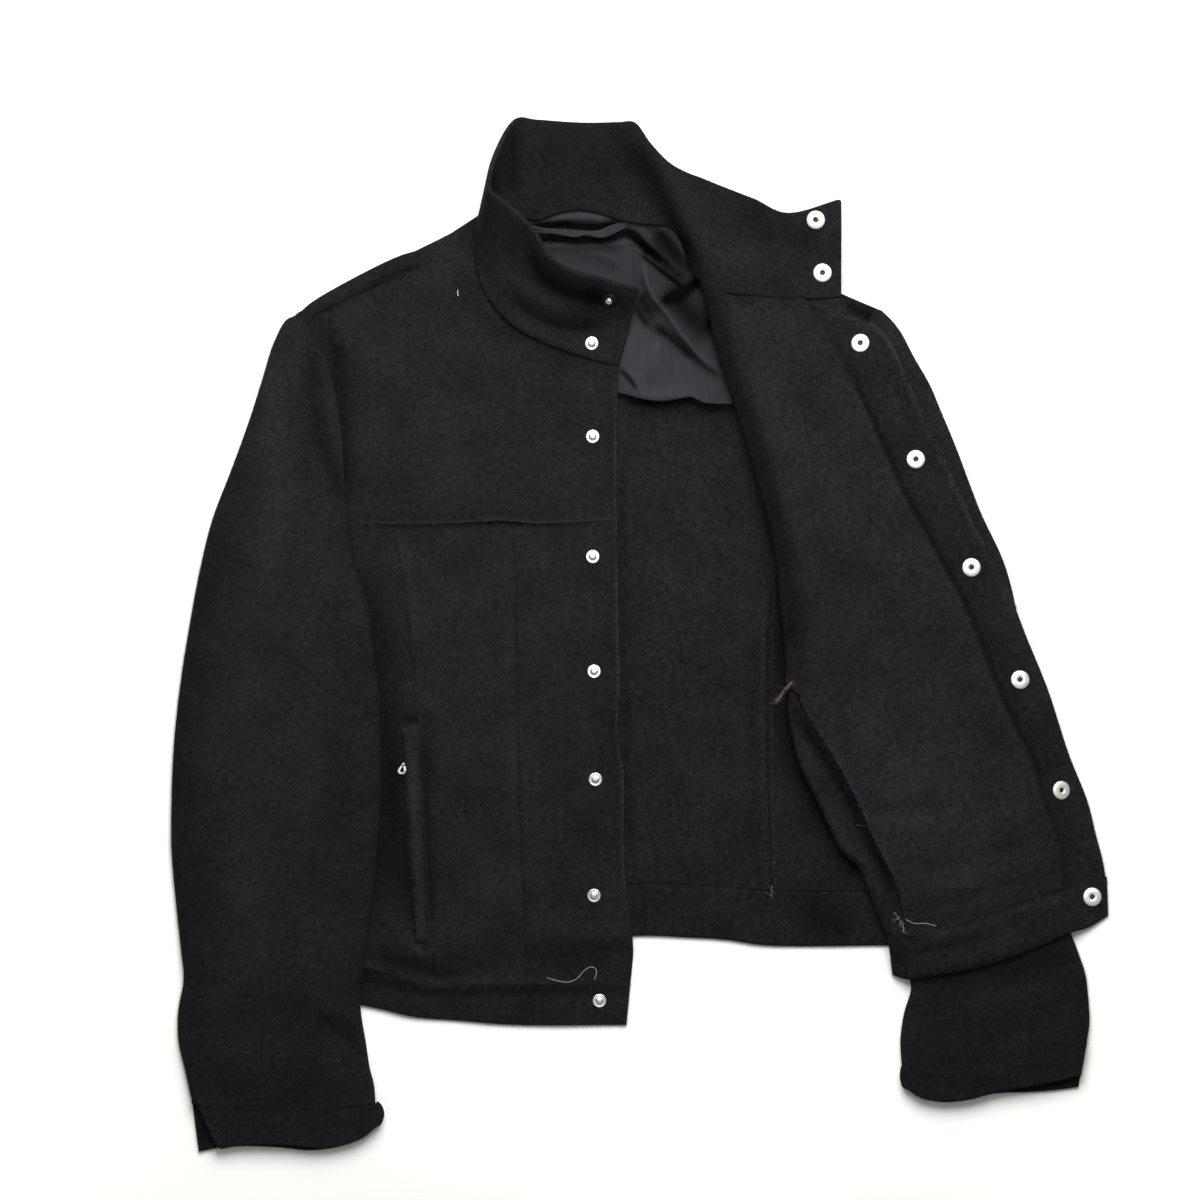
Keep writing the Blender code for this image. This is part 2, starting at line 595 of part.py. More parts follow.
def centre_on_surface():
    """Move the garment so that the middle of its outline is at the origin and its underside at zero."""
    graph = bpy.context.evaluated_depsgraph_get()
    corners = np.array([
        piece.matrix_world @ Vector(corner)
        for piece in (source.evaluated_get(graph) for source in garment.objects if source.type == "MESH")
        for corner in piece.bound_box
    ])
    low, high = corners.min(axis=0), corners.max(axis=0)
    root.location = (-(low[0] + high[0]) / 2, -(low[1] + high[1]) / 2, -low[2])


for old in list(bpy.data.objects):
    bpy.data.objects.remove(old)

garment = bpy.data.collections.new("blouson")
bpy.context.scene.collection.children.link(garment)
root = bpy.data.objects.new("blouson_middle", None)
garment.objects.link(root)

heap = Pile()
lay_back(heap)
lay_lining(heap)
lay_right_front(heap)
lay_sleeve("right", heap)
add_cuff("right", heap)
lay_turned_front(heap)
add_cuff("left", heap)
add_collar(heap)
add_snaps(heap)
centre_on_surface()
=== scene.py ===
import math

import bpy
import numpy as np
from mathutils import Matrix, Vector


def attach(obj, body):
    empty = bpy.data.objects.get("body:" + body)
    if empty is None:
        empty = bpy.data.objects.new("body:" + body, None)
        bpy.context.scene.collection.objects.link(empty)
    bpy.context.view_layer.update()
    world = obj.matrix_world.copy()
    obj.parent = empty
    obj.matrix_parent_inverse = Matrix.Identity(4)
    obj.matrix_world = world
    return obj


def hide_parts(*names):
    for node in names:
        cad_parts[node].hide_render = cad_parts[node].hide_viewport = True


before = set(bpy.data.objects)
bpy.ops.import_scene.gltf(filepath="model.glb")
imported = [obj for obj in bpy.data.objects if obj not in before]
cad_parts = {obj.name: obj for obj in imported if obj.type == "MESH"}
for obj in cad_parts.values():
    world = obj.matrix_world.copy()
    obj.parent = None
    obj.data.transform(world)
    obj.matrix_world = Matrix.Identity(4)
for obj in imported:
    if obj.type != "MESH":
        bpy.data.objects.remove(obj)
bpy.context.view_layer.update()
print("frame loaded")

mm = 0.001
shift = np.array([0.177, -0.582]) * mm  # from the lines' zero to the middle of the laid outline
wool, double, satin = 2.2 * mm, 3.6 * mm, 0.9 * mm  # thickness of one ply, two plies and lining
rest = 0.5 * mm  # how far a cloth lies above what is under it
clear = 0.2 * mm  # and how near it may come where it is pressed down
nearFloor = 0.05 * mm
step = 2.6 * mm  # between the points of a cloth
linePoints = 161  # along a seam
rim = np.array([0.0, 0.35, 0.9, 1.7, 2.6]) * mm  # how far in the first points of a cut edge are
rimWear = np.array([1.0, 0.75, 0.35, 0.1])  # wear at those points, full at the edge itself
allEdges, noEdges = (1, 1, 1, 1), (0, 0, 0, 0)  # top, foot, left, right
dice = np.random.default_rng(7)

# seams and edges of the laid garment: across, up, in millimetres
lines = {
    "shoulderRight": [(-252, 239), (-244, 246), (-215, 263), (-178, 281), (-155, 288), (-138, 299),
                      (-118, 312)],
    "neckRight": [(-118, 312), (-118, 285), (-116, 262), (-111, 248), (-101, 238), (-88, 228), (-72, 220),
                  (-58, 214), (-40, 207), (-16, 201)],
    "armholeRight": [(-252, 239), (-243, 224), (-232, 203), (-222, 157), (-219, 115), (-216, 81)],
    "underarmRight": [(-256, 55), (-238, 63), (-216, 81)],
    "sideRight": [(-256, 55), (-258, -41), (-256, -150), (-254, -237)],
    "frontEdgeRight": [(-16, 201), (-17, 152), (-17, 84), (-16, 11), (-15, -48), (-17, -68), (-14, -90),
                       (-12, -104), (-12, -164), (-10, -190), (-7, -213), (-5, -233), (-7, -258)],
    "yokeSeam": [(-216, 80.8), (-180, 82), (-148, 82), (-123, 83), (-106, 84.2), (-91, 83.5), (-76, 82.2),
                 (-57, 82.7), (-37, 83.6), (-17, 85)],
    "panelSeamOuter": [(-184, 82), (-175, 38), (-169, -7), (-165, -54), (-160, -122), (-155, -215),
                       (-151, -260)],
    "panelSeamInner": [(-95, 83), (-92, 40), (-91, -48), (-88, -147), (-84, -259)],
    "bandRightTop": [(-254, -237), (-207, -248), (-172, -256), (-148, -260), (-69, -258), (-7, -258)],
    "bandRightFoot": [(-252, -263), (-207, -274), (-189, -278), (-168, -283), (-133, -286), (-92, -289),
                      (-10, -289)],
    "weltOuter": [(-176, -69), (-172, -150), (-166, -226)],
    "weltInner": [(-163, -67), (-160, -150), (-157, -229)],
    "backTop": [(-255, 238), (-215, 261), (-138, 299), (-104, 318), (-52, 319), (0, 315), (57, 297),
                (136, 259), (180, 240)],
    "backCutRight": [(-255, 238), (-248, 223), (-238, 202), (-229, 157), (-225, 118), (-195, 77),
                     (-177, 33), (-172, -64), (-174, -147), (-176, -202)],
    "backCutLeft": [(180, 240), (172, 224), (160, 203), (149, 157), (143, 118), (117, 77), (98, 33),
                    (94, -64), (96, -147), (98, -190)],
    "backUnderarmRight": [(-256, 55), (-240, 63), (-227, 85), (-219, 110)],
    "backUnderarmLeft": [(141, 110), (149, 85), (162, 63), (178, 55)],
    "backSideRight": [(-256, 55), (-258, -41), (-256, -150), (-252, -222)],
    "backSideLeft": [(178, 55), (182, -41), (185, -130), (187, -190)],
    "bandBackTop": [(-252, -222), (-176, -202), (-6, -185), (48, -186), (98, -190), (187, -190)],
    "bandBackFoot": [(-252, -258), (-163, -239), (-5, -223), (32, -224), (65, -226), (93, -230),
                     (187, -230)],
    "liningTop": [(-112, 302), (-80, 313), (-52, 316), (-10, 312), (28, 304), (50, 290)],
    "liningFoot": [(-120, 182), (-59, 180), (-15, 179), (0, 175), (16, 173), (30, 175), (38, 176),
                   (47, 172), (69, 171)],
    "loopTop": [(-80, 303.5), (-73, 301.8), (-64, 301), (-55, 300.2), (-42, 299.2), (-30, 299.8),
                (-20, 304.1), (-8, 306)],
    "loopFoot": [(-80, 298.5), (-74, 297.5), (-63, 296.7), (-48, 294.4), (-40, 295.8), (-29, 293.8),
                 (-20, 296.7), (-10, 302)],
    "sleeveRightOut": [(-257, 236), (-262, 234), (-272, 215), (-280, 189), (-291, 155), (-303, 122),
                       (-317, 85), (-326, 48), (-333, 11), (-340, -33), (-345, -78), (-347, -122),
                       (-347, -159), (-344, -196), (-340, -233), (-338, -255), (-342, -278), (-342, -300),
                       (-337, -322), (-332, -345)],
    "sleeveRightIn": [(-217, 95), (-211, 56), (-203, 30), (-198, 4), (-194, -33), (-192, -63), (-192, -92),
                      (-192, -122), (-194, -152), (-196, -181), (-200, -211), (-205, -248), (-207, -275),
                      (-203, -303), (-200, -322), (-197, -333), (-196, -347)],
    "cuffRightTop": [(-332, -345), (-320, -350), (-297, -352), (-255, -352), (-222, -350), (-196, -347)],
    "cuffRightFoot": [(-327, -383), (-311, -380), (-289, -379), (-266, -380), (-244, -382), (-222, -379),
                      (-206, -373), (-195, -364)],
    "armholeLeft": [(173, 240), (165, 224), (154, 203), (144, 157), (141, 115), (140, 81)],
    "sleeveLeftOut": [(178, 241), (185, 235), (193, 225), (203, 206), (215, 185), (223, 166), (235, 137),
                      (252, 92), (272, 47), (290, -48), (305, -137), (315, -207), (325, -236), (330, -251),
                      (332, -267), (333, -287), (331, -301)],
    "sleeveLeftIn": [(140, 95), (148, 30), (150, -33), (158, -92), (177, -150), (191, -200), (199, -250),
                     (201, -262), (196, -279), (193, -300), (194, -319)],
    "cuffLeftTop": [(194, -319), (203, -319), (236, -317), (269, -316), (296, -310), (331, -301)],
    "cuffLeftFoot": [(195, -336), (206, -343), (223, -346), (244, -344), (262, -340), (285, -339),
                     (302, -338), (325, -335)],
    "turnedSide": [(171, 239), (164, 224), (153, 203), (143, 157), (140, 115), (150, 83), (176, 52),
                   (181, -41), (186, -150), (200, -218)],
    "turnedFold": [(47, 263), (52, 246), (59, 213), (67, 189), (73, 170), (84, 134), (92, 106), (101, 73),
                   (107, 23), (111, -27), (110, -60), (118, -93), (127, -113), (140, -139), (149, -158),
                   (163, -172), (175, -204), (183, -221)],
    "turnedInner": [(52, 262), (57, 246), (64, 213), (73, 189), (78, 170), (90, 134), (98, 106), (106, 73),
                    (112, 23), (114, -27), (117, -49), (128, -67), (144, -92), (161, -123), (173, -150),
                    (186, -175), (193, -195), (197, -220)],
    "turnedFacing": [(121, 251), (125, 243), (142, 215), (160, 180), (180, 135), (198, 96), (220, 56),
                     (243, 12), (260, -33), (277, -70), (289, -93), (297, -123), (310, -159), (312, -187)],
    "turnedEdge": [(149, 251), (160, 234), (173, 229), (183, 221), (189, 212), (195, 197), (209, 162),
                   (220, 139), (244, 87), (263, 48), (275, 26), (285, 1), (302, -40), (318, -88),
                   (332, -123), (338, -147), (343, -166), (345, -178)],
    "bandLeftTop": [(183, -222), (196, -222), (219, -220), (244, -211), (260, -202), (285, -193),
                    (310, -188), (334, -184), (346, -179)],
    "bandLeftFoot": [(187, -252), (198, -255), (219, -252), (252, -246), (277, -238), (302, -228),
                     (317, -221), (332, -217), (347, -208)],
}


def evenLine(points, count):
    # equal steps along the length of the line through the points
    along = np.concatenate([[0.0], np.cumsum(np.linalg.norm(np.diff(points, axis=0), axis=1))])
    spots = np.linspace(0.0, along[-1], count)
    return np.stack([np.interp(spots, along, column) for column in points.T], axis=1)


def smoothLine(rows, fine=16):
    # cubic pieces through the rows, with slopes that follow the neighbours
    rows = np.asarray(rows, float)
    gaps = np.linalg.norm(np.diff(rows[:, :2], axis=0), axis=1)
    knots = np.concatenate([[0.0], np.cumsum(np.sqrt(gaps))])
    slope = np.gradient(rows, knots, axis=0)
    spot = np.linspace(0.0, knots[-1], fine * (len(rows) - 1) + 1)
    k = np.clip(np.searchsorted(knots, spot, side="right") - 1, 0, len(rows) - 2)
    span = (knots[k + 1] - knots[k])[:, None]
    t = (spot - knots[k])[:, None] / span
    return ((2 * t**3 - 3 * t**2 + 1) * rows[k] + (t**3 - 2 * t**2 + t) * span * slope[k]
            + (3 * t**2 - 2 * t**3) * rows[k + 1] + (t**3 - t**2) * span * slope[k + 1])


def pathOf(points, count):
    # a listed line in the frame of the solids: equal steps, smooth if it has more than two points
    return evenLine(smoothLine(points) if len(points) > 2 else np.array(points, float), count) * mm + shift


def seam(name):
    # a named line with the points of a seam
    return pathOf(lines[name], linePoints)


def straight(start, end):
    # equal steps from one point to another
    return np.linspace(start, end, linePoints)


def joined(first, second):
    # two lines end to end, half of the points each
    half = linePoints // 2 + 1
    return np.concatenate([evenLine(first, half), evenLine(second, half)[1:]])


def across(name, start, end):
    # the stretch of a line between two places across
    whole = seam(name)
    spots = straight(start, end)
    return np.stack([spots, np.interp(spots, whole[:, 0], whole[:, 1])], axis=1)


def down(name, start, end):
    # the stretch of a falling line between two heights
    whole = seam(name)
    spots = straight(start, end)
    return np.stack([np.interp(-spots, -whole[:, 1], whole[:, 0]), spots], axis=1)


def fitted(edge, start, end):
    # the edge shifted gradually so that it runs from start to end
    share = np.linspace(0.0, 1.0, len(edge))[:, None]
    return edge + (1 - share) * (start - edge[0]) + share * (end - edge[-1])


def at(edge, spots):
    # points of an edge at fractions of its length
    steps = np.linspace(0.0, 1.0, len(edge))
    return np.stack([np.interp(spots, steps, column) for column in edge.T], axis=-1)


def evened(values, wide):
    # running mean over an odd number of neighbours, the ends held on
    return np.convolve(np.pad(values, wide // 2, mode="edge"), np.ones(wide) / wide, "valid")


def lengthOf(edge):
    # the sum of an edge's steps
    return np.linalg.norm(np.diff(edge, axis=0), axis=1).sum()


def places(length, gap=step):
    # fractions of a length: close together at both cut edges, where the cloth rounds over, and even between
    inside = np.linspace(rim[-1], length - rim[-1], max(2, round((length - 2 * rim[-1]) / gap)) + 1)
    return np.concatenate([rim[:-1], inside, length - rim[-2::-1]]) / length


def patch(top, foot, left, right, gap=step):
    # a grid between four edges: both ruled surfaces added, less the one through the corners
    top, foot = fitted(top, left[0], right[0]), fitted(foot, left[-1], right[-1])
    u = places((lengthOf(top) + lengthOf(foot)) / 2, gap)
    v = places((lengthOf(left) + lengthOf(right)) / 2, gap)
    a, b = u[None, :, None], v[:, None, None]
    corners = (1 - b) * ((1 - a) * top[0] + a * top[-1]) + b * ((1 - a) * foot[0] + a * foot[-1])
    lofted = (1 - b) * at(top, u)[None] + b * at(foot, u)[None]
    return lofted + (1 - a) * at(left, v)[:, None] + a * at(right, v)[:, None] - corners


def strip(top, foot, gap=step):
    # a grid between two edges, with straight ends
    return patch(top, foot, straight(top[0], foot[0]), straight(top[-1], foot[-1]), gap)


def withHeight(plan, z):
    # a grid of places across and up with its heights
    return np.concatenate([plan, z[..., None]], axis=-1)


def raised(grid, rise):
    # a grid moved straight up
    return grid + np.array([0.0, 0.0, rise])


def unit(vectors):
    # each vector divided by its own length
    return vectors / np.maximum(np.linalg.norm(vectors, axis=-1, keepdims=True), 1e-9)


def normalsOf(grid):
    # unit normals of a grid whose rows run down and columns run right
    return unit(np.cross(np.gradient(grid, axis=1), -np.gradient(grid, axis=0)))


# height map of what lies on the floor so far
cell = 1.5 * mm
reach = 0.42
heap = np.zeros((int(2 * reach / cell), int(2 * reach / cell)))


def cellsOf(points):
    # row and column of the height map under each point
    index = ((points[..., :2] + reach) / cell).astype(int)
    return index[..., 1], index[..., 0]


def under(plan):
    # the highest thing within a cell and a half of each point
    tall, n = np.pad(heap, 1, mode="edge"), len(heap)
    near = np.max([tall[j:j + n, i:i + n] for j in range(3) for i in range(3)], axis=0)
    return near[cellsOf(plan)]


def heapUp(grid):
    # the grid's surface put on the height map, each cell sampled closer than the map
    widest = max(np.linalg.norm(np.diff(grid[..., :2], axis=k), axis=-1).max() for k in (0, 1))
    share = np.linspace(0.0, 1.0, int(widest / cell) + 2)
    s, t = share[:, None, None, None, None], share[None, :, None, None, None]
    upper = (1 - t) * grid[:-1, :-1] + t * grid[:-1, 1:]
    lower = (1 - t) * grid[1:, :-1] + t * grid[1:, 1:]
    points = (1 - s) * upper + s * lower
    np.maximum.at(heap, cellsOf(points), points[..., 2])


def settled(low, passes):
    # heights no lower than low, each moved towards its neighbours' mean as stiff cloth bridges a step
    z = low.copy()
    for turn in range(passes + 3):
        wide = np.pad(z, 1, mode="edge")
        mean = (wide[:-2, 1:-1] + wide[2:, 1:-1] + wide[1:-1, :-2] + wide[1:-1, 2:]) / 4
        z = np.maximum(low, mean) if turn < passes else mean
    return z


def humps(plan, rows):
    # soft ridges and troughs: height times a bell across each listed line, fading at its ends
    parts, fadeShare, leastFade = 24, 0.18, 0.25
    rise = np.zeros(plan.shape[:2])
    for points, width, height in rows:
        path = pathOf(points, parts + 1)
        away = np.full(plan.shape[:2], 1e9)
        along = np.zeros(plan.shape[:2])
        for k in range(parts):
            a, b = path[k], path[k + 1]
            share = np.clip((plan[..., :2] - a) @ (b - a) / ((b - a) @ (b - a)), 0.0, 1.0)
            far = np.linalg.norm(plan[..., :2] - a - share[..., None] * (b - a), axis=-1)
            along = np.where(far < away, (k + share) / parts, along)
            away = np.minimum(far, away)
        fade = np.clip(np.minimum(along, 1 - along) / fadeShare, leastFade, 1.0)
        rise += height * mm * fade * np.exp(-((away / (width * mm)) ** 2))
    return rise


def ripple(plan, size, long, turn):
    # slow unevenness of thick cloth: five crossing sine waves of about the length given
    x, y = plan[..., 0] / (long * mm), plan[..., 1] / (long * mm)
    total = 0.0
    for k in range(5):
        way = turn + k * 2.4
        phase = 6.28 * (math.cos(way) * x + math.sin(way) * y) * (0.7 + 0.23 * k)
        total = total + np.sin(phase + 1.7 * k + turn)
    return size * mm * total / 3


def fromRim(shape, values, sides):
    # values that run in from the borders, scaled for top, foot, left and right: the largest holds
    k = len(values)
    spread = np.zeros(shape)
    spread[:k] = np.maximum(spread[:k], sides[0] * values[:, None])
    spread[-k:] = np.maximum(spread[-k:], sides[1] * values[::-1, None])
    spread[:, :k] = np.maximum(spread[:, :k], sides[2] * values)
    spread[:, -k:] = np.maximum(spread[:, -k:], sides[3] * values[::-1])
    return spread


def rimDrop(shape, radius, sides):
    # fall of a rounded edge: a quarter circle over one radius
    near = np.minimum(rim[:-1], radius)
    return fromRim(shape, radius - np.sqrt(np.maximum(radius**2 - (radius - near) ** 2, 0.0)), sides)


def paintedShadeOf(spec, plan):
    # painted light and shade: lighter on ridges, darker in troughs, and along lines of painted shade and
    # highlight, a few also rubbed lips
    tone = 1.0 + 0.06 * humps(plan, spec.get("folds", [])) / mm + humps(plan, spec.get("tones", [])) / mm
    return spec.get("tone", 1.0) * np.clip(tone, 0.06, 1.8)


def newMesh(name, points, faces, look, caps=None):
    # a smooth mesh of four-sided faces, and caps with as many sides as their ends have
    mesh = bpy.data.meshes.new(name)
    mesh.from_pydata(points.tolist(), [], faces.tolist() + ([] if caps is None else caps.tolist()))
    mesh.shade_smooth()
    mesh.materials.append(look)
    piece = bpy.data.objects.new(name, mesh)
    bpy.context.scene.collection.objects.link(piece)
    return piece


def addShell(spec, top, bottom, uv):
    # a closed cloth: the upper grid, the lower grid turned over and a strip round the rim
    rows, columns = top.shape[:2]
    count = rows * columns
    index = np.arange(count).reshape(rows, columns)
    corners = [index[:-1, :-1], index[1:, :-1], index[1:, 1:], index[:-1, 1:]]
    quads = np.stack(corners, axis=-1).reshape(-1, 4)
    border = np.concatenate([index[0, :-1], index[:-1, -1], index[-1, :0:-1], index[:0:-1, 0]])
    after = np.roll(border, -1)
    sides = np.stack([border, after, after + count, border + count], axis=-1)
    faces = np.concatenate([quads, quads[:, ::-1] + count, sides])
    points = np.concatenate([top.reshape(-1, 3), bottom.reshape(-1, 3)])
    piece = newMesh(spec["name"], points, faces, spec["look"])
    grain = math.radians(spec.get("grain", 0))  # how far the weave is turned in this piece
    c, s = math.cos(grain), math.sin(grain)
    uv = uv.reshape(-1, 2) @ np.array([[c, -s], [s, c]])
    layer = piece.data.uv_layers.new(name="cloth")
    layer.data.foreach_set("uv", np.tile(uv, (2, 1))[faces.ravel()].ravel())
    worn = fromRim(top.shape[:2], rimWear, spec.get("worn", noEdges))
    # the tone attribute holds painted light and shade, the worn attribute real wear
    for word, values in (("worn", worn), ("tone", paintedShadeOf(spec, top))):
        mark = piece.data.attributes.new(word, "FLOAT", "POINT")
        mark.data.foreach_set("value", np.tile(values.ravel(), 2))
    return piece


def declare(piece, node):
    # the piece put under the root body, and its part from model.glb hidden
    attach(piece, "root")
    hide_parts(node)


fuzz = []  # roots and ways of the fibres at cut edges, piece by piece


def edgeFuzz(grid, sides):
    # two fibres a millimetre along the chosen borders, each pointing away from the cloth a rim's width in
    borders = ((grid[0], grid[4]), (grid[-1], grid[-5]), (grid[:, 0], grid[:, 4]),
               (grid[:, -1], grid[:, -5]))
    for (line, inner), share in zip(borders, sides):
        if share:
            count = max(2, int(lengthOf(line) / mm * 2.0 * share))
            path = evenLine(np.concatenate([line, inner], axis=1), count)
            fuzz.append((path[:, :3], unit(path[:, :3] - path[:, 3:])))


def layCloth(spec, plan, low=None):
    # one flat-lying piece: on the heap, evened out, with its folds and rounded edges
    thick = spec["thick"]
    below = under(plan) if low is None else low
    loose = settled(np.where(below > clear, below + rest, 0.1 * mm), spec.get("settle", 24))
    loose = loose + humps(plan, spec.get("folds", []))
    loose = loose + ripple(plan, spec.get("ripple", 0.25), spec.get("long", 60), spec.get("turn", 1.0))
    z = np.maximum(loose, np.where(below > clear, below + clear, nearFloor))
    drop = rimDrop(plan.shape[:2], thick / 2, spec.get("edges", allEdges))
    # a trough presses the cloth thinner where it can't sink
    face = np.maximum(loose + thick, z + 0.3 * thick)
    foot = z + np.minimum(drop, thick * 0.45)
    top = withHeight(plan, np.maximum(face - drop, foot + nearFloor))
    piece = addShell(spec, top, withHeight(plan, foot), plan)
    declare(piece, spec["node"])
    edgeFuzz(top, spec.get("fuzz", noEdges))
    return top


def layTogether(pieces):
    # pieces that meet edge to edge: each laid on what was there before, then all put on the heap
    for top in [layCloth(spec, plan) for spec, plan in pieces]:
        heapUp(top)


def newLook(name):
    # an empty material: itself, its tree of nodes and its shader
    look = bpy.data.materials.new(name)
    look.use_nodes = True
    return look, look.node_tree, look.node_tree.nodes["Principled BSDF"]


def node(tree, kind, **values):
    # a new node, each value put on its input or else on its own setting of that name
    made = tree.nodes.new(kind)
    for key, value in values.items():
        if key in made.inputs:
            made.inputs[key].default_value = value
        else:
            setattr(made, key, value)
    return made


def feed(tree, made, values):
    # each numbered input fed by another node's output, or set to a plain number or colour
    for k, value in values:
        if isinstance(value, bpy.types.NodeSocket):
            tree.links.new(value, made.inputs[k])
        else:
            made.inputs[k].default_value = value


def mixed(tree, factor, first, second, blend="MIX"):
    # first to second by the factor, or blended in another way
    mix = node(tree, "ShaderNodeMix", data_type="RGBA", blend_type=blend)
    feed(tree, mix, ((0, factor), (6, first), (7, second)))
    return mix.outputs[2]


def sums(tree, first, second, kind="ADD"):
    # two values added, or worked out in another way
    made = node(tree, "ShaderNodeMath", operation=kind)
    feed(tree, made, ((0, first), (1, second)))
    return made.outputs[0]


def ranged(tree, value, low, high, start, end):
    # a value between low and high stretched to run from start to end
    ends = {"From Min": low, "From Max": high, "To Min": start, "To Max": end}
    made = node(tree, "ShaderNodeMapRange", **ends)
    feed(tree, made, ((0, value),))
    return made.outputs["Result"]


def woolLook(name, angle, twill, dark, light):
    # napped twill: bands broken up by noise, fibres as fine noise, slow patches of tone, painted light and
    # shade from the tone attribute, brown worn edges
    look, tree, shader = newLook(name)
    place = node(tree, "ShaderNodeUVMap", uv_map="cloth")
    turn = node(tree, "ShaderNodeMapping")
    turn.inputs["Rotation"].default_value = (0, 0, math.radians(angle))
    tree.links.new(place.outputs["UV"], turn.inputs["Vector"])
    wave = node(tree, "ShaderNodeTexWave", wave_type="BANDS", bands_direction="X", Scale=108.0,
                Distortion=4.0, Detail=2.0)
    wave.inputs["Detail Scale"].default_value = 1.2
    tree.links.new(turn.outputs["Vector"], wave.inputs["Vector"])
    nap = node(tree, "ShaderNodeTexNoise", Scale=800.0, Detail=5.0, Roughness=0.7)
    clump = node(tree, "ShaderNodeTexNoise", Scale=230.0, Detail=3.0, Roughness=0.6)
    tone = node(tree, "ShaderNodeTexNoise", Scale=30.0, Detail=5.0, Roughness=0.6)
    for noise in (nap, clump, tone):
        tree.links.new(place.outputs["UV"], noise.inputs["Vector"])
    napFull = ranged(tree, nap.outputs["Fac"], 0.34, 0.66, 0.0, 0.5)
    clumpFull = ranged(tree, clump.outputs["Fac"], 0.34, 0.66, 0.1, 1.0)
    bands = sums(tree, wave.outputs["Fac"], clumpFull, "MULTIPLY")
    bands = sums(tree, bands, twill, "MULTIPLY")
    height = sums(tree, bands, napFull)
    height = sums(tree, height, sums(tree, clumpFull, 0.3, "MULTIPLY"))
    colour = mixed(tree, ranged(tree, height, 0.08, 0.98, 0.0, 1.0), dark, light)
    slow = ranged(tree, tone.outputs["Fac"], 0.3, 0.7, 0.78, 1.22)
    colour = mixed(tree, 1.0, colour, slow, "MULTIPLY")
    # painted light and shade: the tone attribute darkens troughs and shaded places and lightens ridges
    paintedShade = node(tree, "ShaderNodeAttribute", attribute_name="tone")
    colour = mixed(tree, 1.0, colour, paintedShade.outputs["Fac"], "MULTIPLY")
    worn = node(tree, "ShaderNodeAttribute", attribute_name="worn")
    patchy = ranged(tree, clump.outputs["Fac"], 0.42, 0.62, 0.3, 1.0)
    patchy = sums(tree, worn.outputs["Fac"], patchy, "MULTIPLY")
    colour = mixed(tree, patchy, colour, (0.146, 0.113, 0.085, 1))
    tree.links.new(colour, shader.inputs["Base Color"])
    shader.inputs["Roughness"].default_value = 1.0
    shader.inputs["Specular IOR Level"].default_value = 0.06
    bump = node(tree, "ShaderNodeBump", Strength=0.8, Distance=0.0008)
    tree.links.new(height, bump.inputs["Height"])
    tree.links.new(bump.outputs["Normal"], shader.inputs["Normal"])
    return look


def satinLook(name):
    # lining: smooth dark grey with a fine weave and small crumples, shinier than the wool, with painted
    # light and shade from the tone attribute
    look, tree, shader = newLook(name)
    place = node(tree, "ShaderNodeUVMap", uv_map="cloth")
    tone = node(tree, "ShaderNodeTexNoise", Scale=55.0, Detail=5.0, Roughness=0.6)
    weave = node(tree, "ShaderNodeTexWave", wave_type="BANDS", bands_direction="DIAGONAL", Scale=520.0,
                 Distortion=1.2, Detail=2.0)
    for texture in (tone, weave):
        tree.links.new(place.outputs["UV"], texture.inputs["Vector"])
    fall = node(tree, "ShaderNodeMapping", Scale=(1.0, 0.16, 1.0))  # fine creases run up and down
    tree.links.new(place.outputs["UV"], fall.inputs["Vector"])
    crease = node(tree, "ShaderNodeTexNoise", Scale=240.0, Detail=4.0, Roughness=0.65, Distortion=0.6)
    tree.links.new(fall.outputs["Vector"], crease.inputs["Vector"])
    colour = mixed(tree, tone.outputs["Fac"], (0.0174, 0.0187, 0.0203, 1), (0.0272, 0.0287, 0.0312, 1))
    streak = ranged(tree, crease.outputs["Fac"], 0.3, 0.7, 0.9, 1.1)
    colour = mixed(tree, 1.0, colour, streak, "MULTIPLY")
    # painted light and shade: the tone attribute darkens the gaps, hollows and shaded folds and lightens
    # ridges
    paintedShade = node(tree, "ShaderNodeAttribute", attribute_name="tone")
    colour = mixed(tree, 1.0, colour, paintedShade.outputs["Fac"], "MULTIPLY")
    tree.links.new(colour, shader.inputs["Base Color"])
    shader.inputs["Roughness"].default_value = 0.5
    shader.inputs["Specular IOR Level"].default_value = 0.01
    crumple = sums(tree, sums(tree, tone.outputs["Fac"], 1.6, "MULTIPLY"), weave.outputs["Fac"])
    crumple = sums(tree, crumple, crease.outputs["Fac"])
    bump = node(tree, "ShaderNodeBump", Strength=0.35, Distance=0.0012)
    tree.links.new(crumple, bump.inputs["Height"])
    tree.links.new(bump.outputs["Normal"], shader.inputs["Normal"])
    return look


def metalLook(name, colour, rough, stained=(0.55, 0.47, 0.38, 1)):
    # plated metal with faint scratches and stains
    look, tree, shader = newLook(name)
    place = node(tree, "ShaderNodeTexCoord")
    stain = node(tree, "ShaderNodeTexNoise", Scale=420.0, Detail=4.0, Roughness=0.6)
    tree.links.new(place.outputs["Object"], stain.inputs["Vector"])
    tint = mixed(tree, stain.outputs["Fac"], colour, stained)
    soft = mixed(tree, 0.35, colour, tint)
    tree.links.new(soft, shader.inputs["Base Color"])
    shader.inputs["Metallic"].default_value = 1.0
    shine = ranged(tree, stain.outputs["Fac"], 0.0, 1.0, rough * 0.6, rough * 1.5)
    tree.links.new(shine, shader.inputs["Roughness"])
    return look


def threadLook(name, colour):
    # spun thread: a tint that varies along the fibres
    look, tree, shader = newLook(name)
    place = node(tree, "ShaderNodeTexCoord")
    noise = node(tree, "ShaderNodeTexNoise", Scale=260.0, Detail=3.0, Roughness=0.6)
    tree.links.new(place.outputs["Object"], noise.inputs["Vector"])
    deep = tuple(value * 0.45 for value in colour[:3]) + (1,)
    tree.links.new(mixed(tree, noise.outputs["Fac"], deep, colour), shader.inputs["Base Color"])
    shader.inputs["Roughness"].default_value = 0.9
    shader.inputs["Specular IOR Level"].default_value = 0.2
    return look


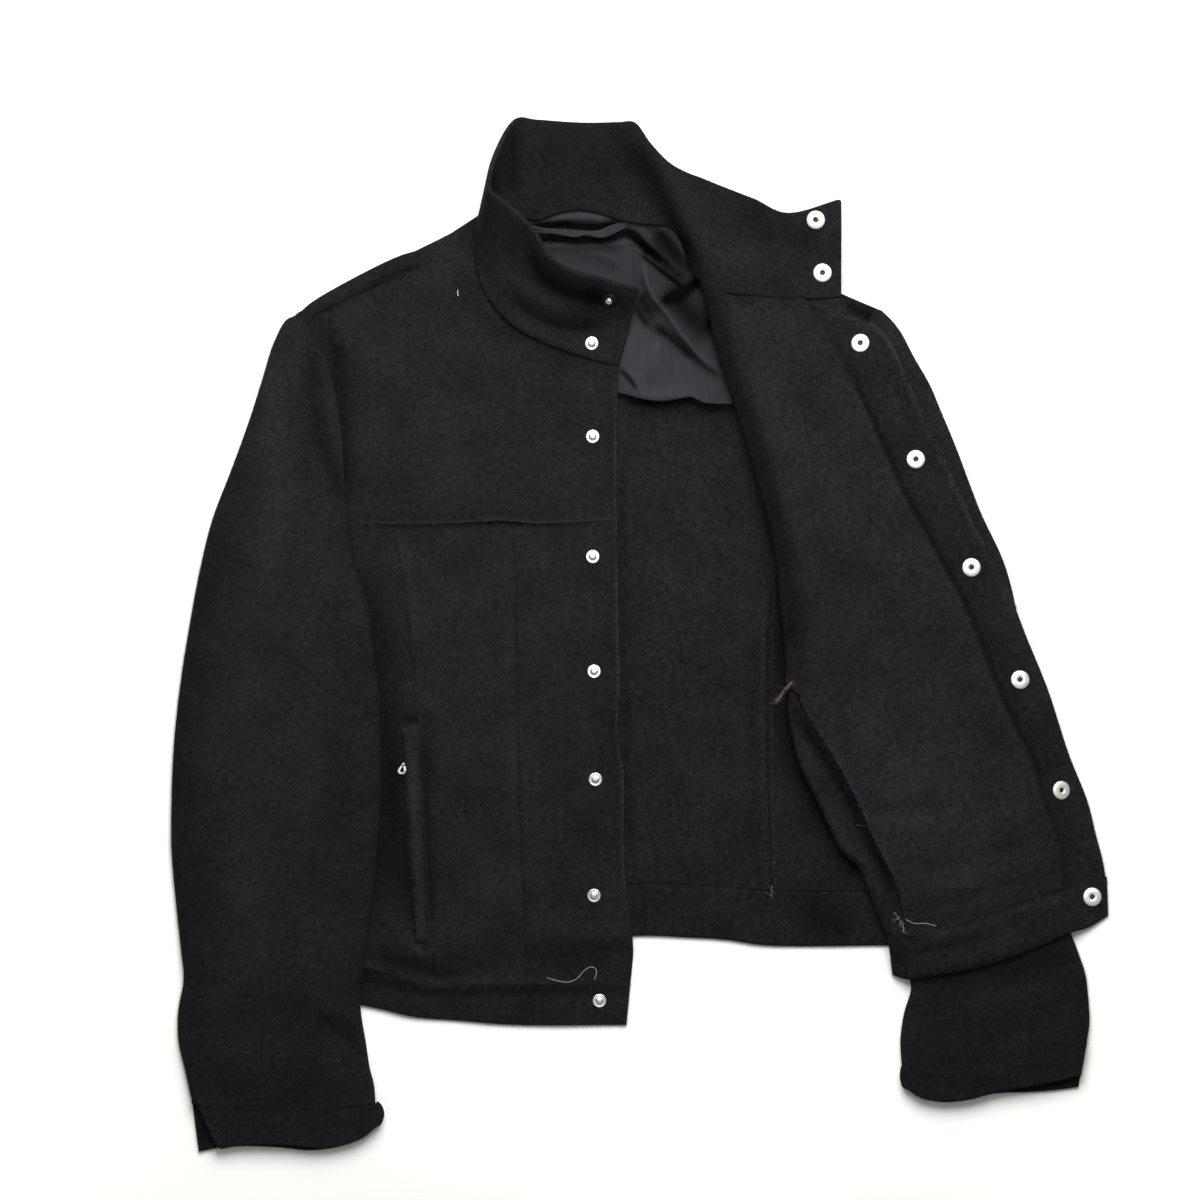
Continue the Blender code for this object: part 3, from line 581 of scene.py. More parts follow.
outside = woolLook("wool_outside", 37, 0.27, (0.0050, 0.0051, 0.0056, 1), (0.0180, 0.0183, 0.0201, 1))
inside = woolLook("wool_inside", 37, 0.18, (0.0037, 0.00375, 0.0042, 1), (0.0195, 0.0198, 0.0218, 1))
liningLook = satinLook("lining_satin")
nickel = metalLook("nickel", (0.86, 0.85, 0.82, 1), 0.32)
# near-black metal for the sockets' holes, and painted shade on the top stud's flange
holeAndShadeMetal = metalLook("snap_hole_and_shade", (0.02, 0.018, 0.016, 1), 0.5, (0.03, 0.025, 0.02, 1))
bright = metalLook("nickel_bright", (0.92, 0.91, 0.89, 1), 0.5)
brass = metalLook("snap_wire", (0.17, 0.11, 0.06, 1), 0.4, (0.08, 0.05, 0.03, 1))
print("materials made")

# back: centre, two sides and band, inside up
right, left = seam("backCutRight"), seam("backCutLeft")
rightLow = down("backCutRight", seam("backUnderarmRight")[-1, 1], right[-1, 1])
leftLow = down("backCutLeft", seam("backUnderarmLeft")[0, 1], left[-1, 1])
seamLine = [(97, 33), (95, -5), (94, -64), (94, -110), (96, -147), (98, -189)]  # left, with its allowance
besideFold = [(70, 168), (82, 134), (90, 106), (98, 73), (104, 23), (107, -27), (108, -60), (117, -95),
              (135, -128), (155, -168), (174, -208)]
backCentre = {
    "name": "back_centre_cloth", "node": "back_centre", "thick": wool, "look": inside, "on": ["floor"],
    "grain": 74,
    "folds": [(seamLine, 3.2, 1.5), ([(-10, 60), (60, 20), (90, -10)], 26, 0.7),
              ([(10, -90), (70, -120)], 22, 0.6)],
    # painted shade beside the turned fold, under the lining's foot, beside the right front's edge, along
    # the seam allowance and near the left shoulder
    "tones": [(besideFold, 11, -0.5), ([(-16, 172), (20, 168), (74, 165)], 8, -0.4),
              ([(-40, 177), (-15, 176.5), (0, 172.5), (16, 170.5), (30, 172.5), (38, 173.5), (47, 169.5),
                (90, 168.5)], 2.8, -0.8),
              ([(-13.5, 150), (-13.5, 50), (-11.5, -40), (-8.5, -120), (-4, -200)], 4, -0.3),
              ([(85, 30), (84, -64), (85, -147), (88, -189)], 5, -0.15),
              ([(136, 253), (152, 243), (164, 239), (180, 235)], 5, -0.6)],
    "edges": (1, 0.5, 0.5, 0.4),
}
backSideRight = {"name": "back_side_right_cloth", "node": "back_side_right", "thick": wool, "look": inside,
                 "on": ["floor"], "grain": 74}
backSideLeft = {"name": "back_side_left_cloth", "node": "back_side_left", "thick": wool, "look": inside,
                "grain": 74, "on": ["floor"], "edges": (1, 0.5, 0.6, 1),
                "folds": [([(104, 20), (108, -80), (110, -180)], 5, 0.5)],
                # painted shade beside the turned fold
                "tones": [(besideFold, 13, -0.65)]}
bandBack = {"name": "hem_band_back_cloth", "node": "hem_band_back", "thick": double, "look": inside,
            # painted shade: the band a little darker all over, and darker beside the foot of the turned
            # front
            "on": ["floor"], "edges": (0.3, 1, 1, 1), "fuzz": (0, 1, 0, 0), "ripple": 0.35, "tone": 0.92,
            "grain": 74, "tones": [([(120, -195), (140, -212), (160, -226)], 14, -0.45)]}
layTogether([
    (backCentre, patch(seam("backTop"), across("bandBackTop", right[-1, 0], left[-1, 0]), right, left)),
    (backSideRight, patch(seam("backUnderarmRight"), across("bandBackTop", -0.252, right[-1, 0]),
                          seam("backSideRight"), rightLow)),
    (backSideLeft, patch(seam("backUnderarmLeft"), across("bandBackTop", left[-1, 0], 0.187), leftLow,
                         seam("backSideLeft"))),
    (bandBack, strip(seam("bandBackTop"), seam("bandBackFoot"))),
])
print("back laid")

# half lining and hanger loop
lining = {
    "name": "lining_cloth", "node": "lining_back", "thick": satin, "look": liningLook, "slot": "satin",
    "on": ["back_centre_cloth"], "ripple": 0.35, "long": 22, "turn": 2.2, "settle": 6,
    "folds": [
        ([(1, 282), (5, 262), (11, 249), (20, 238), (30, 224), (40, 211), (50, 201), (64, 191)], 3.0, 5.0),
        ([(-30, 240), (-10, 214), (20, 196)], 26, 4.0),
        ([(9, 230), (24, 219), (36, 208), (50, 197)], 3.5, -1.8),
        ([(20, 248), (33, 255), (45, 263)], 4.0, -2.0),
        ([(-4, 290), (10, 276), (24, 262), (34, 256)], 2.2, -2.6),
        ([(-2, 296), (14, 284), (28, 272), (38, 264)], 3.4, 4.2),
        ([(2, 302), (14, 296), (24, 282), (32, 268)], 2.2, -1.6),
        ([(12, 304), (26, 292), (36, 276)], 3.5, 3.2),
        ([(-3, 284), (6, 276), (16, 270)], 2.0, 2.2),
        ([(-15, 196), (-8, 189), (-3, 181)], 2.0, -1.6), ([(-12, 198), (-5, 190), (0, 182)], 2.0, 2.0),
        ([(-72, 306), (-46, 310), (-16, 306)], 4.0, 2.6),
        ([(-76, 302), (-45, 303), (-12, 302)], 3.0, -1.5),
        ([(-74, 289), (-40, 289), (-8, 290)], 4.0, 4.6),
        ([(-70, 279), (-40, 276), (-8, 272)], 5.0, -1.4),
        ([(-4, 288), (-4, 276), (-4, 264)], 1.0, 0.7),
        ([(6, 232), (8, 206), (12, 182)], 4.0, 0.7), ([(-2, 228), (0, 204), (3, 184)], 3.0, -0.6),
        ([(18, 214), (20, 198), (24, 180)], 3.5, -0.7), ([(34, 204), (36, 192), (40, 178)], 3.5, 0.8),
        ([(-12, 182), (0, 178), (14, 176), (30, 178), (50, 174)], 5.0, 3.0),
    ],
    "tones": [
        # painted shadow in the gaps above and below the loop and in the wedge that the lower one ends in,
        # then painted shade and highlights on the folds
        ([(-84, 305), (-73, 303.2), (-64, 303.2), (-54, 304), (-46, 303), (-38, 302.2), (-29, 302),
          (-22, 304), (-12, 307)], 2.9, -1.9),
        ([(-86, 295), (-73, 294), (-60, 292.8), (-48, 291.6), (-36, 291.8), (-28, 291.6), (-20, 293.6),
          (-12, 297.5), (-5, 296), (1, 290), (5, 284)], 3.0, -1.9),
        ([(-13, 301), (-2, 294), (8, 284.5), (18, 274)], 3.2, -0.8),
        ([(-74, 287), (-40, 284.2), (-23, 280.5), (-9, 270)], 1.8, 0.2),
        ([(8, 302), (24, 286), (38, 266)], 17, -0.4), ([(14, 260), (34, 242), (56, 220)], 16, -0.46),
        ([(-6, 206), (14, 192), (44, 184)], 14, 0.16),
        ([(0, 256), (4, 243), (12, 231)], 8, -0.55), ([(10, 290), (18, 281), (22, 272)], 3, -0.25),
        ([(8, 232), (26, 219), (46, 203)], 7, -0.25), ([(58, 205), (66, 190), (72, 176)], 7, -0.25),
        ([(-52, 280), (-36, 280), (-22, 275), (-13, 267)], 4, -0.2),
        ([(-30, 288), (-15, 288), (-2, 288.5)], 0.9, -0.3),
        ([(-66, 270), (-30, 270), (-4, 267)], 8, -0.1),
        ([(-4.5, 294), (-4.5, 277), (-4.5, 260)], 0.8, -0.4),
        # painted shade in the crease, pleat and hollow round the long ridge, and a painted highlight on it
        ([(-3, 284), (10, 274), (19, 267.5), (33, 257)], 1.3, -1.0),
        ([(8, 306), (24, 284), (38, 260)], 12, -0.4),
        ([(12, 243), (20, 248), (33, 255), (45, 263), (55, 268)], 4.0, -0.7),
        ([(22, 252), (38, 235), (58, 216)], 10, -0.35),
        ([(3, 234), (9, 230), (24, 219), (36, 208), (50, 197), (66, 188)], 3.6, -0.5),
        ([(2, 258), (5, 236)], 6, -0.25),
        ([(-5, 246), (2, 233), (8, 226)], 2.0, -0.5),
        ([(36, 282), (48, 255), (56, 225), (70, 188)], 5, -0.4),
        ([(1, 280), (5, 262), (11, 249), (20, 238), (30, 224), (40, 211), (50, 201), (60, 194)], 2.6, 0.12),
        ([(-17, 197), (-8, 189), (-1, 180)], 1.6, -0.75), ([(-62, 311), (-46, 313), (-28, 311)], 3, 0.1),
        ([(6, 224), (8, 204), (5, 182)], 1.6, -0.12), ([(24, 212), (22, 196), (25, 180)], 1.8, -0.1),
    ],
}
heapUp(layCloth(lining, strip(seam("liningTop"), seam("liningFoot"), 1.5 * mm)))
loop = {
    "name": "hanger_loop_cloth", "node": "hanger_loop", "thick": satin, "look": liningLook, "slot": "satin",
    "on": ["lining_cloth"], "ripple": 0.3, "long": 20, "settle": 30,
    "folds": [([(-74, 301), (-45, 300), (-18, 299)], 6, 2.6),
              ([(-28, 302), (-22, 296), (-18, 293)], 2.0, -1.4)],
}
heapUp(layCloth(loop, strip(seam("loopTop"), seam("loopFoot"), 1.2 * mm)))
print("lining laid")

# right front: yoke, three panels, band and pocket welt
yokeSeam, frontEdge = seam("yokeSeam"), seam("frontEdgeRight")
upperEdge = down("frontEdgeRight", frontEdge[0, 1], yokeSeam[-1, 1])
lowerEdge = down("frontEdgeRight", yokeSeam[-1, 1], frontEdge[-1, 1])
outerSeam, innerSeam = seam("panelSeamOuter"), seam("panelSeamInner")
underarm = joined(seam("underarmRight"), across("yokeSeam", yokeSeam[0, 0], outerSeam[0, 0]))
yoke = {
    "name": "yoke_cloth", "node": "front_right_yoke", "thick": wool, "look": outside,
    "on": ["back_centre_cloth"],
    "edges": (1, 0.8, 0.2, 1), "worn": (0, 0.3, 0, 0.06), "fuzz": (1, 0.5, 0, 0.5), "ripple": 0.45,
    "long": 75, "tone": 0.96,
    "folds": [
        ([(-244, 236), (-234, 205), (-226, 180), (-221, 150), (-219, 110), (-219, 86)], 8, -1.5),
        ([(-206, 235), (-205, 170), (-203, 95)], 12, 1.1),
        ([(-246, 231), (-237, 238), (-215, 249), (-190, 262), (-156, 276)], 2.0, -1.4),
        ([(-243, 242), (-200, 264), (-156, 285)], 5.0, 0.9),
        ([(-140, 270), (-132, 240), (-110, 215), (-70, 196)], 9, 1.0),
        ([(-120, 225), (-90, 200), (-50, 186)], 14, -0.9),
        ([(-214, 85), (-110, 87), (-18, 88)], 2.6, 0.9),
        ([(-185, 150), (-120, 120), (-60, 128)], 30, 0.8),
        ([(-23, 190), (-24, 140), (-23, 92)], 2.0, -0.25),
    ],
    # painted shade in the armhole, along the shoulder seam, round the neck and above the yoke's lip;
    # painted highlights on the lip, the front edge and the middle; the yoke a little darker all over
    "tones": [
        ([(-236, 234), (-226, 214), (-222, 195), (-220, 160), (-219, 110), (-220, 84)], 7, -0.42),
        ([(-246, 231), (-237, 238), (-215, 249), (-190, 262), (-156, 276)], 2.0, -0.5),
        ([(-228, 251), (-180, 275), (-150, 288)], 8, -0.15),
        ([(-236, 236), (-228, 222), (-224, 205)], 7, -0.2),
        ([(-136, 288), (-131, 262), (-119, 240), (-95, 222), (-60, 207), (-25, 197)], 9, -0.25),
        ([(x, y + 1.3) for x, y in lines["yokeSeam"]], 1.5, 0.35),
        ([(x, y + 6) for x, y in lines["yokeSeam"]], 2.6, -0.22),
        ([(-150, 190), (-138, 150), (-130, 118)], 24, 0.1),
        ([(-16.5, 196), (-17.5, 152), (-17.5, 90)], 1.5, 0.3),
        ([(-21, 190), (-22, 150), (-22, 92)], 2.5, -0.15),
    ],
}
hemRidge = [(-245, -236), (-207, -243.5), (-190, -250), (-170, -255.5), (-150, -259.5), (-130, -258),
            (-80, -257.5), (-10, -257.5)]
hemGroove = [(-245, -247), (-205, -255.5), (-180, -262), (-150, -266.5), (-110, -265.5), (-60, -265),
             (-10, -264.5)]
hemFolds = [(hemRidge, 3.6, 1.4), (hemGroove, 3.2, -1.3)]
# painted highlight on the hem's ridge, painted shade in its groove and near the pocket's foot
hemTones = [(hemRidge, 2.6, 0.12), (hemGroove, 3.0, -0.3),
            ([(-165, -247), (-150, -250), (-132, -250)], 3.5, -0.4)]
underYoke = ([(x, y - 1.6) for x, y in lines["yokeSeam"]], 1.3, -0.55)  # shade under the lip of the yoke
# painted shade on the panel beside the sleeve
besideSleeve = ([(-214, 70), (-203, 30), (-196, 0), (-192, -60), (-190, -120), (-193, -180), (-200, -230)],
                13, -0.5)
outerStitch = ([(-184, 80), (-175, 38), (-169, -7), (-165, -54)], 1.3, -0.2)
innerStitch = ([(-95, 80), (-92, 40), (-91, -48), (-88, -147), (-84, -250)], 1.3, -0.2)
sidePanel = {
    "name": "side_panel_cloth", "node": "front_right_side", "thick": wool, "look": outside,
    "on": ["back_side_right_cloth"], "edges": (0.8, 0, 1, 0.3), "ripple": 0.35,
    "folds": [([(-187, -20), (-184, -90), (-181, -220)], 7, -1.2),
              ([(-180, -222), (-166, -234), (-155, -240)], 4, 2.0),
              ([(-178, -70), (-175, -150), (-169, -226)], 5, -1.0),
              ([(-196, -234), (-174, -243), (-160, -248)], 4, -1.2),
              ([(-178, -60), (-168, -63), (-158, -61)], 3.5, -1.2), *hemFolds],
    # painted shade under the yoke's lip, beside the sleeve, at the pocket's mouth and the welt's ends and
    # in the hem's groove, painted highlights on the hem's ridge and a fold
    "tones": [underYoke, besideSleeve, outerStitch, *hemTones,
              ([(-181, -72), (-178, -150), (-172, -226)], 7, -0.3),
              ([(-175, -140), (-172, -180), (-168, -222)], 1.6, -0.35),
              ([(-178, -61), (-168, -63.5), (-159, -62)], 3, -0.4),
              ([(-196, -235), (-174, -244), (-158, -248)], 4, -0.35),
              ([(-180, -222), (-166, -233), (-156, -239)], 3, 0.15)],
}
middlePanel = {
    "name": "middle_panel_cloth", "node": "front_right_middle", "thick": wool, "look": outside,
    "on": ["back_centre_cloth"], "edges": (0.8, 0, 0.3, 0.25), "ripple": 0.45, "turn": 3.0,
    "folds": [([(-163, -50), (-150, -56), (-140, -70)], 6, 1.5),
              ([(-157, -70), (-155, -150), (-152, -225)], 2.6, -1.2),
              ([(-151, -70), (-149, -150), (-146, -222)], 3.0, 0.7),
              ([(-168, 20), (-150, 0), (-130, -10)], 16, 0.8),
              ([(-155, -235), (-148, -245), (-140, -252)], 4, 1.1),
              ([(-120, -60), (-118, -150), (-116, -240)], 22, 0.8), *hemFolds],
    # painted shade under the yoke's lip, beside the welt and along the stitched seams, painted highlights
    # along the seams and the middle
    "tones": [underYoke, outerStitch, innerStitch, *hemTones,
              ([(-159, -70), (-157, -150), (-153.5, -226)], 2.2, -0.45),
              ([(-180, 84), (-171, 40), (-164, -20)], 5, 0.2),
              ([(-163, -60), (-158, -62), (-152, -66)], 4, -0.25),
              ([(-100, 90), (-97, 40), (-96, -48), (-93, -147), (-88, -256)], 4.5, 0.16),
              ([(-130, 60), (-125, 0), (-122, -60)], 24, 0.06),
              ([(-150, -120), (-100, -124), (-40, -120)], 12, -0.1)],
}
centrePanel = {
    "name": "centre_panel_cloth", "node": "front_right_centre", "thick": wool, "look": outside,
    "on": ["back_centre_cloth"], "edges": (0.8, 0, 0.25, 1), "worn": (0, 0, 0, 0.06),
    "fuzz": (0, 0, 0, 0.6), "ripple": 0.45, "turn": 4.0,
    "folds": [([(-22, 76), (-22, 0), (-20, -60)], 2.0, -0.25),
              ([(-40, -60), (-22, -68), (-15, -70)], 5, -1.0),
              ([(-60, 40), (-55, -40), (-60, -120)], 22, 0.8),
              ([(-17, -110), (-16, -170), (-13, -250)], 2.4, -0.35),
              ([(-70, -215), (-40, -225), (-15, -222)], 12, 0.8), *hemFolds],
    # painted shade under the yoke's lip, along the seam and lower down, painted highlight on the front
    # edge's lip
    "tones": [underYoke, innerStitch, *hemTones, ([(-30, 60), (-28, -40), (-26, -200)], 10, -0.12),
              ([(-60, -60), (-50, -120), (-50, -200)], 16, -0.08),
              ([(-75, -228), (-45, -236), (-18, -232)], 12, -0.22),
              ([(-17.5, 80), (-16.5, 11), (-15.5, -48), (-17.5, -68), (-14.5, -90), (-12.5, -104),
                (-12.5, -164), (-8, -213)], 1.6, 0.35),
              ([(-22, 70), (-21, -40), (-17, -140), (-15, -200)], 2.2, -0.15)],
}
bandRight = {
    "name": "hem_band_right_cloth", "node": "hem_band_right", "thick": double, "look": outside,
    "on": ["hem_band_back_cloth", "floor"], "edges": (0, 1, 1, 1), "fuzz": (0, 1, 0, 0.8), "ripple": 0.4,
    # painted shade: the band a little darker all over, with the hem's painted highlight and shade
    "worn": (0, 0.1, 0, 0.1), "tone": 0.92, "folds": hemFolds,
    "tones": [*hemTones, ([(-250, -262), (-200, -273), (-150, -283)], 6, -0.15)],
}
layTogether([
    (yoke, patch(seam("shoulderRight"), yokeSeam, seam("armholeRight"),
                 joined(seam("neckRight"), upperEdge))),
    (sidePanel, patch(underarm, across("bandRightTop", -0.254, outerSeam[-1, 0]), seam("sideRight"),
                      outerSeam)),
    (middlePanel, patch(across("yokeSeam", outerSeam[0, 0], innerSeam[0, 0]),
                        across("bandRightTop", outerSeam[-1, 0], innerSeam[-1, 0]), outerSeam, innerSeam)),
    (centrePanel, patch(across("yokeSeam", innerSeam[0, 0], lowerEdge[0, 0]),
                        across("bandRightTop", innerSeam[-1, 0], lowerEdge[-1, 0]), innerSeam, lowerEdge)),
    (bandRight, strip(seam("bandRightTop"), seam("bandRightFoot"))),
])
welt = {
    "name": "pocket_welt_cloth", "node": "pocket_welt_right", "thick": wool, "look": outside,
    "on": ["side_panel_cloth", "middle_panel_cloth"], "edges": (1, 1, 1, 1), "worn": (0.15, 0.15, 0, 0),
    "fuzz": (1, 1, 0.5, 0.4), "ripple": 0.15, "settle": 3, "tone": 1.12,
    "folds": [([(-169.5, -76), (-166.5, -150), (-161.5, -221)], 3.6, 1.9),
              ([(-177, -68), (-170, -67), (-162, -66)], 4, -1.6),
              ([(-176.5, -69), (-172.5, -150), (-166.5, -226)], 2.4, -1.5),
              ([(-168, -229), (-162, -230), (-156, -231)], 4, -1.6)],
    # painted light and shade: the welt lighter all over and on its left half, darker along its right side
    # and its foot
    "tones": [([(-160.5, -66), (-158, -150), (-155.5, -232)], 2.0, -0.7),
              ([(-171, -66), (-168, -150), (-162.5, -232)], 3.2, 0.25),
              ([(-167, -227), (-162, -228.5), (-156, -229)], 1.4, -0.5)],
}
outerSide, innerSide = seam("weltOuter"), seam("weltInner")
weltPlan = patch(straight(outerSide[0], innerSide[0]), straight(outerSide[-1], innerSide[-1]), outerSide,
                 innerSide, 1.6 * mm)
heapUp(layCloth(welt, weltPlan))
print("right front laid")


def roundOff(distance, wide):
    # quarter circle from nothing at an edge to one a given width in
    share = np.clip(distance / wide, 0.0, 1.0)
    return np.sqrt(1.0 - (1.0 - share) ** 2)


def eased(share):
    # 0 to 1 with level ends: three squares less two cubes
    share = np.clip(share, 0.0, 1.0)
    return share * share * (3 - 2 * share)


def laySleeve(spec, side):
    # under sleeve, then top sleeve: lifted by its loft and rounded down to the floor along its free edges
    arm = down("armhole" + side, seam("armhole" + side)[0, 1], spec["armFoot"])
    inner = evenLine(np.concatenate([arm, seam("sleeve" + side + "In")[1:]]), linePoints)
    edges = [seam("sleeve" + side + "Out"), inner]
    if side == "Left":
        edges.reverse()
    plan = patch(straight(edges[0][0], edges[1][0]), seam("cuff" + side + "Top"), *edges)
    low = plan[int(len(plan) * spec["underFrom"]):]
    middle = low.mean(axis=1, keepdims=True)
    wide = np.linalg.norm(low - middle, axis=-1, keepdims=True).max(axis=1, keepdims=True)
    inset = 1 - 3.0 * mm / np.maximum(wide, 0.01)  # the under sleeve stays inside the top sleeve
    heapUp(layCloth(spec["under"], middle + (low - middle) * inset))
    columns = (-1, 0) if side == "Left" else (0, -1)
    fromOuter, fromInner = (np.linalg.norm(plan - plan[:, [k]], axis=-1) for k in columns)
    free = eased((np.linspace(0, 1, len(plan)) - 0.2) / 0.12)[:, None]  # 0 along the armhole, 1 below it
    lift = spec["loft"] * roundOff(fromOuter, 34 * mm) * roundOff(fromInner, 30 * mm)
    base = under(plan)
    full = settled(base + rest, 30) + lift
    toCuff = eased(np.linalg.norm(plan - plan[-1:], axis=-1) / (45 * mm))  # comes down level with the cuff
    full = spec["end"] + (full - spec["end"]) * toCuff
    border = under(plan[:, [columns[1]]]) - wool - clear  # level with the panel at the armhole
    seated = border + (full - border) * eased(fromInner / (16 * mm))
    base = np.where((fromInner < 4 * mm) & (free < 1), border, base)
    full = seated + (full - seated) * free
    close = roundOff(fromOuter, 5 * mm) * (1.0 - free * (1.0 - roundOff(fromInner, 5 * mm)))
    z = np.maximum(base + clear + (full - base - clear) * close, base + 0.15 * mm)
    heapUp(layCloth(spec["top"] | {"settle": 0}, plan, low=z - rest))


sleeveRight = {
    "loft": 9.0 * mm, "end": 8.2 * mm, "armFoot": 95 * mm, "underFrom": 0.27,
    "under": {"name": "sleeve_right_under_cloth", "node": "sleeve_right_under", "thick": wool,
              "look": outside, "on": ["side_panel_cloth", "floor"]},
    "top": {
        "name": "sleeve_right_top_cloth", "node": "sleeve_right_top", "thick": wool, "look": outside,
        "on": ["sleeve_right_under_cloth", "side_panel_cloth"], "edges": (0.6, 0.15, 0.5, 0.5),
        "ripple": 0.6, "long": 95, "turn": 0.4, "fuzz": (0.6, 0, 1, 0.6),
        "folds": [
            ([(-268, 216), (-267, 160), (-266, 115), (-272, 70), (-284, 15)], 13, 3.6),
            ([(-281, 190), (-291, 140), (-304, 90)], 7, -1.4),
            ([(-290, 0), (-296, -90), (-297, -190), (-294, -280)], 24, 2.0),
            ([(-206, 25), (-200, -60), (-203, -160), (-212, -260)], 7, -1.3),
            ([(-262, 60), (-250, -40), (-252, -150)], 28, 1.4),
            ([(-240, -283), (-222, -293), (-205, -302)], 6, -2.2),
            ([(-250, -268), (-228, -276), (-206, -280)], 8, 1.5),
            ([(-338, -252), (-325, -258), (-300, -262)], 5, -0.9),
        ],
        # painted shade on the outer side, in the armhole, beside the panel, low on the sleeve and above the
        # cuff, painted highlight on the cap
        "tones": [
            ([(-292, 170), (-302, 110), (-318, 50), (-330, -20), (-335, -90), (-335, -170), (-330, -240),
              (-330, -300)], 17, -0.22),
            ([(-247, 230), (-241, 214), (-243, 190), (-240, 165), (-236, 145), (-229, 128), (-223, 108),
              (-218, 78)], 7, -0.42),
            ([(-216, 72), (-210, 50), (-203, 28), (-197, 0), (-193, -40)], 3, -0.3),
            ([(-273, 205), (-274, 165), (-273, 120), (-277, 80)], 9, 0.12),
            ([(-225, 40), (-221, -50), (-223, -130), (-226, -200)], 14, -0.16),
            ([(-238, -284), (-222, -294), (-204, -302)], 9, -0.28),
            ([(-330, -330), (-262, -338), (-200, -332)], 20, -0.16),
            ([(-326, -348), (-262, -353), (-200, -348)], 1.4, -0.25),
        ],
    },
}
laySleeve(sleeveRight, "Right")
print("right sleeve laid")


def halfTurn(start, way, roll, count=9):
    # points round a fold: a half circle that bulges along way and climbs two radii
    angle = np.linspace(0.0, math.pi, count + 2)[1:-1]
    out = roll * np.sin(angle)[None, :, None] * way[:, None]
    return start[:, None] + out + roll * (1 - np.cos(angle))[None, :, None] * np.array([0.0, 0.0, 1.0])


def addCurved(spec, middle):
    # a folded or standing cloth: its middle surface moved half a thickness each way along the normals
    half = spec["thick"] / 2
    swell = np.maximum(half - rimDrop(middle.shape[:2], half, spec.get("edges", allEdges)), 0.03 * mm)
    out = swell[..., None] * normalsOf(middle)
    uv = middle[..., :2]  # where it lies flat enough, the weave is laid from above
    if spec.get("stands"):
        wide = np.linalg.norm(np.diff(middle, axis=1), axis=-1).mean(axis=0)
        long = np.linalg.norm(np.diff(middle, axis=0), axis=-1).mean(axis=1)
        wide, long = (np.concatenate([[0.0], np.cumsum(steps)]) for steps in (wide, long))
        uv = np.stack(np.broadcast_arrays(wide[None, :], -long[:, None]), axis=-1) + middle[0, 0, :2]
    top, bottom = middle + out, middle - out
    for face in (top, bottom):
        face[..., 2] = np.maximum(face[..., 2], nearFloor)
    piece = addShell(spec, top, bottom, uv)
    declare(piece, spec["node"])
    edgeFuzz(middle, spec.get("fuzz", noEdges))


def addCuff(spec, side):
    # a cuff folded at one end: lower half on the floor, half turn, upper half cut back along its slit
    plan = strip(seam("cuff" + side + "Top"), seam("cuff" + side + "Foot"))
    if side == "Right":
        plan = plan[:, ::-1]
    plan = plan[:, -1:] + (plan - plan[:, -1:]) * (1.0 - spec["tuck"])
    low = np.concatenate([plan, np.full((*plan.shape[:2], 1), double / 2)], axis=-1)
    fall = np.linspace(0.0, 1.0, len(plan))[:, None, None]
    high = low[:, :1] + (low - low[:, :1]) * (1.0 - spec["slit"] * fall)
    along = np.linspace(0.0, 1.0, plan.shape[1])
    high += spec["short"] * fall * eased((along - 0.35) / 0.65)[:, None] * unit(low[:1] - low[-1:])
    sag = np.where(along > 0.75, (along - 0.75) / 0.25, 0.0) ** 2 * 1.0 * mm
    high[..., 2] += 2 * spec["roll"] - sag + humps(high, spec["folds"])
    fromTop = np.linalg.norm(plan[:, 0] - plan[0, 0], axis=-1)  # the roll bulges less at its two ends
    bulge = roundOff(fromTop, 14 * mm) * roundOff(fromTop[-1] - fromTop, 8 * mm)
    bulge = np.maximum(bulge, 0.1) * spec["bulge"]
    fold = halfTurn(low[:, 0], unit(low[:, 0] - low[:, 6]) * bulge[:, None], spec["roll"])
    heapUp(raised(high, double / 2))
    addCurved(spec, np.concatenate([low[:, :3:-1], fold, high[:, 4:]], axis=1))


cuffRight = {
    "name": "cuff_right_cloth", "node": "cuff_right", "thick": double, "look": outside, "on": ["floor"],
    "slit": 0.135, "short": 0.0, "tuck": 0.0, "bulge": 1.5, "roll": 3.4 * mm, "edges": (0.15, 1, 1, 1),
    "worn": (0, 0.1, 0.1, 0.06), "fuzz": (0, 1, 0, 1), "tone": 0.88,
    # painted light and shade: the cuff darker all over, a painted highlight on the slit's edge and painted
    # shade beside it
    "tones": [([(-331, -346), (-322, -360), (-309, -379)], 1.6, 0.3),
              ([(-333, -350), (-329, -362), (-322, -379)], 4.5, -0.4)],
    "folds": [([(-315, -359), (-255, -360), (-200, -356)], 3.5, 0.7),
              ([(-300, -372), (-260, -371), (-215, -370)], 6, 0.5)],
}
addCuff(cuffRight, "Right")
print("right cuff added")

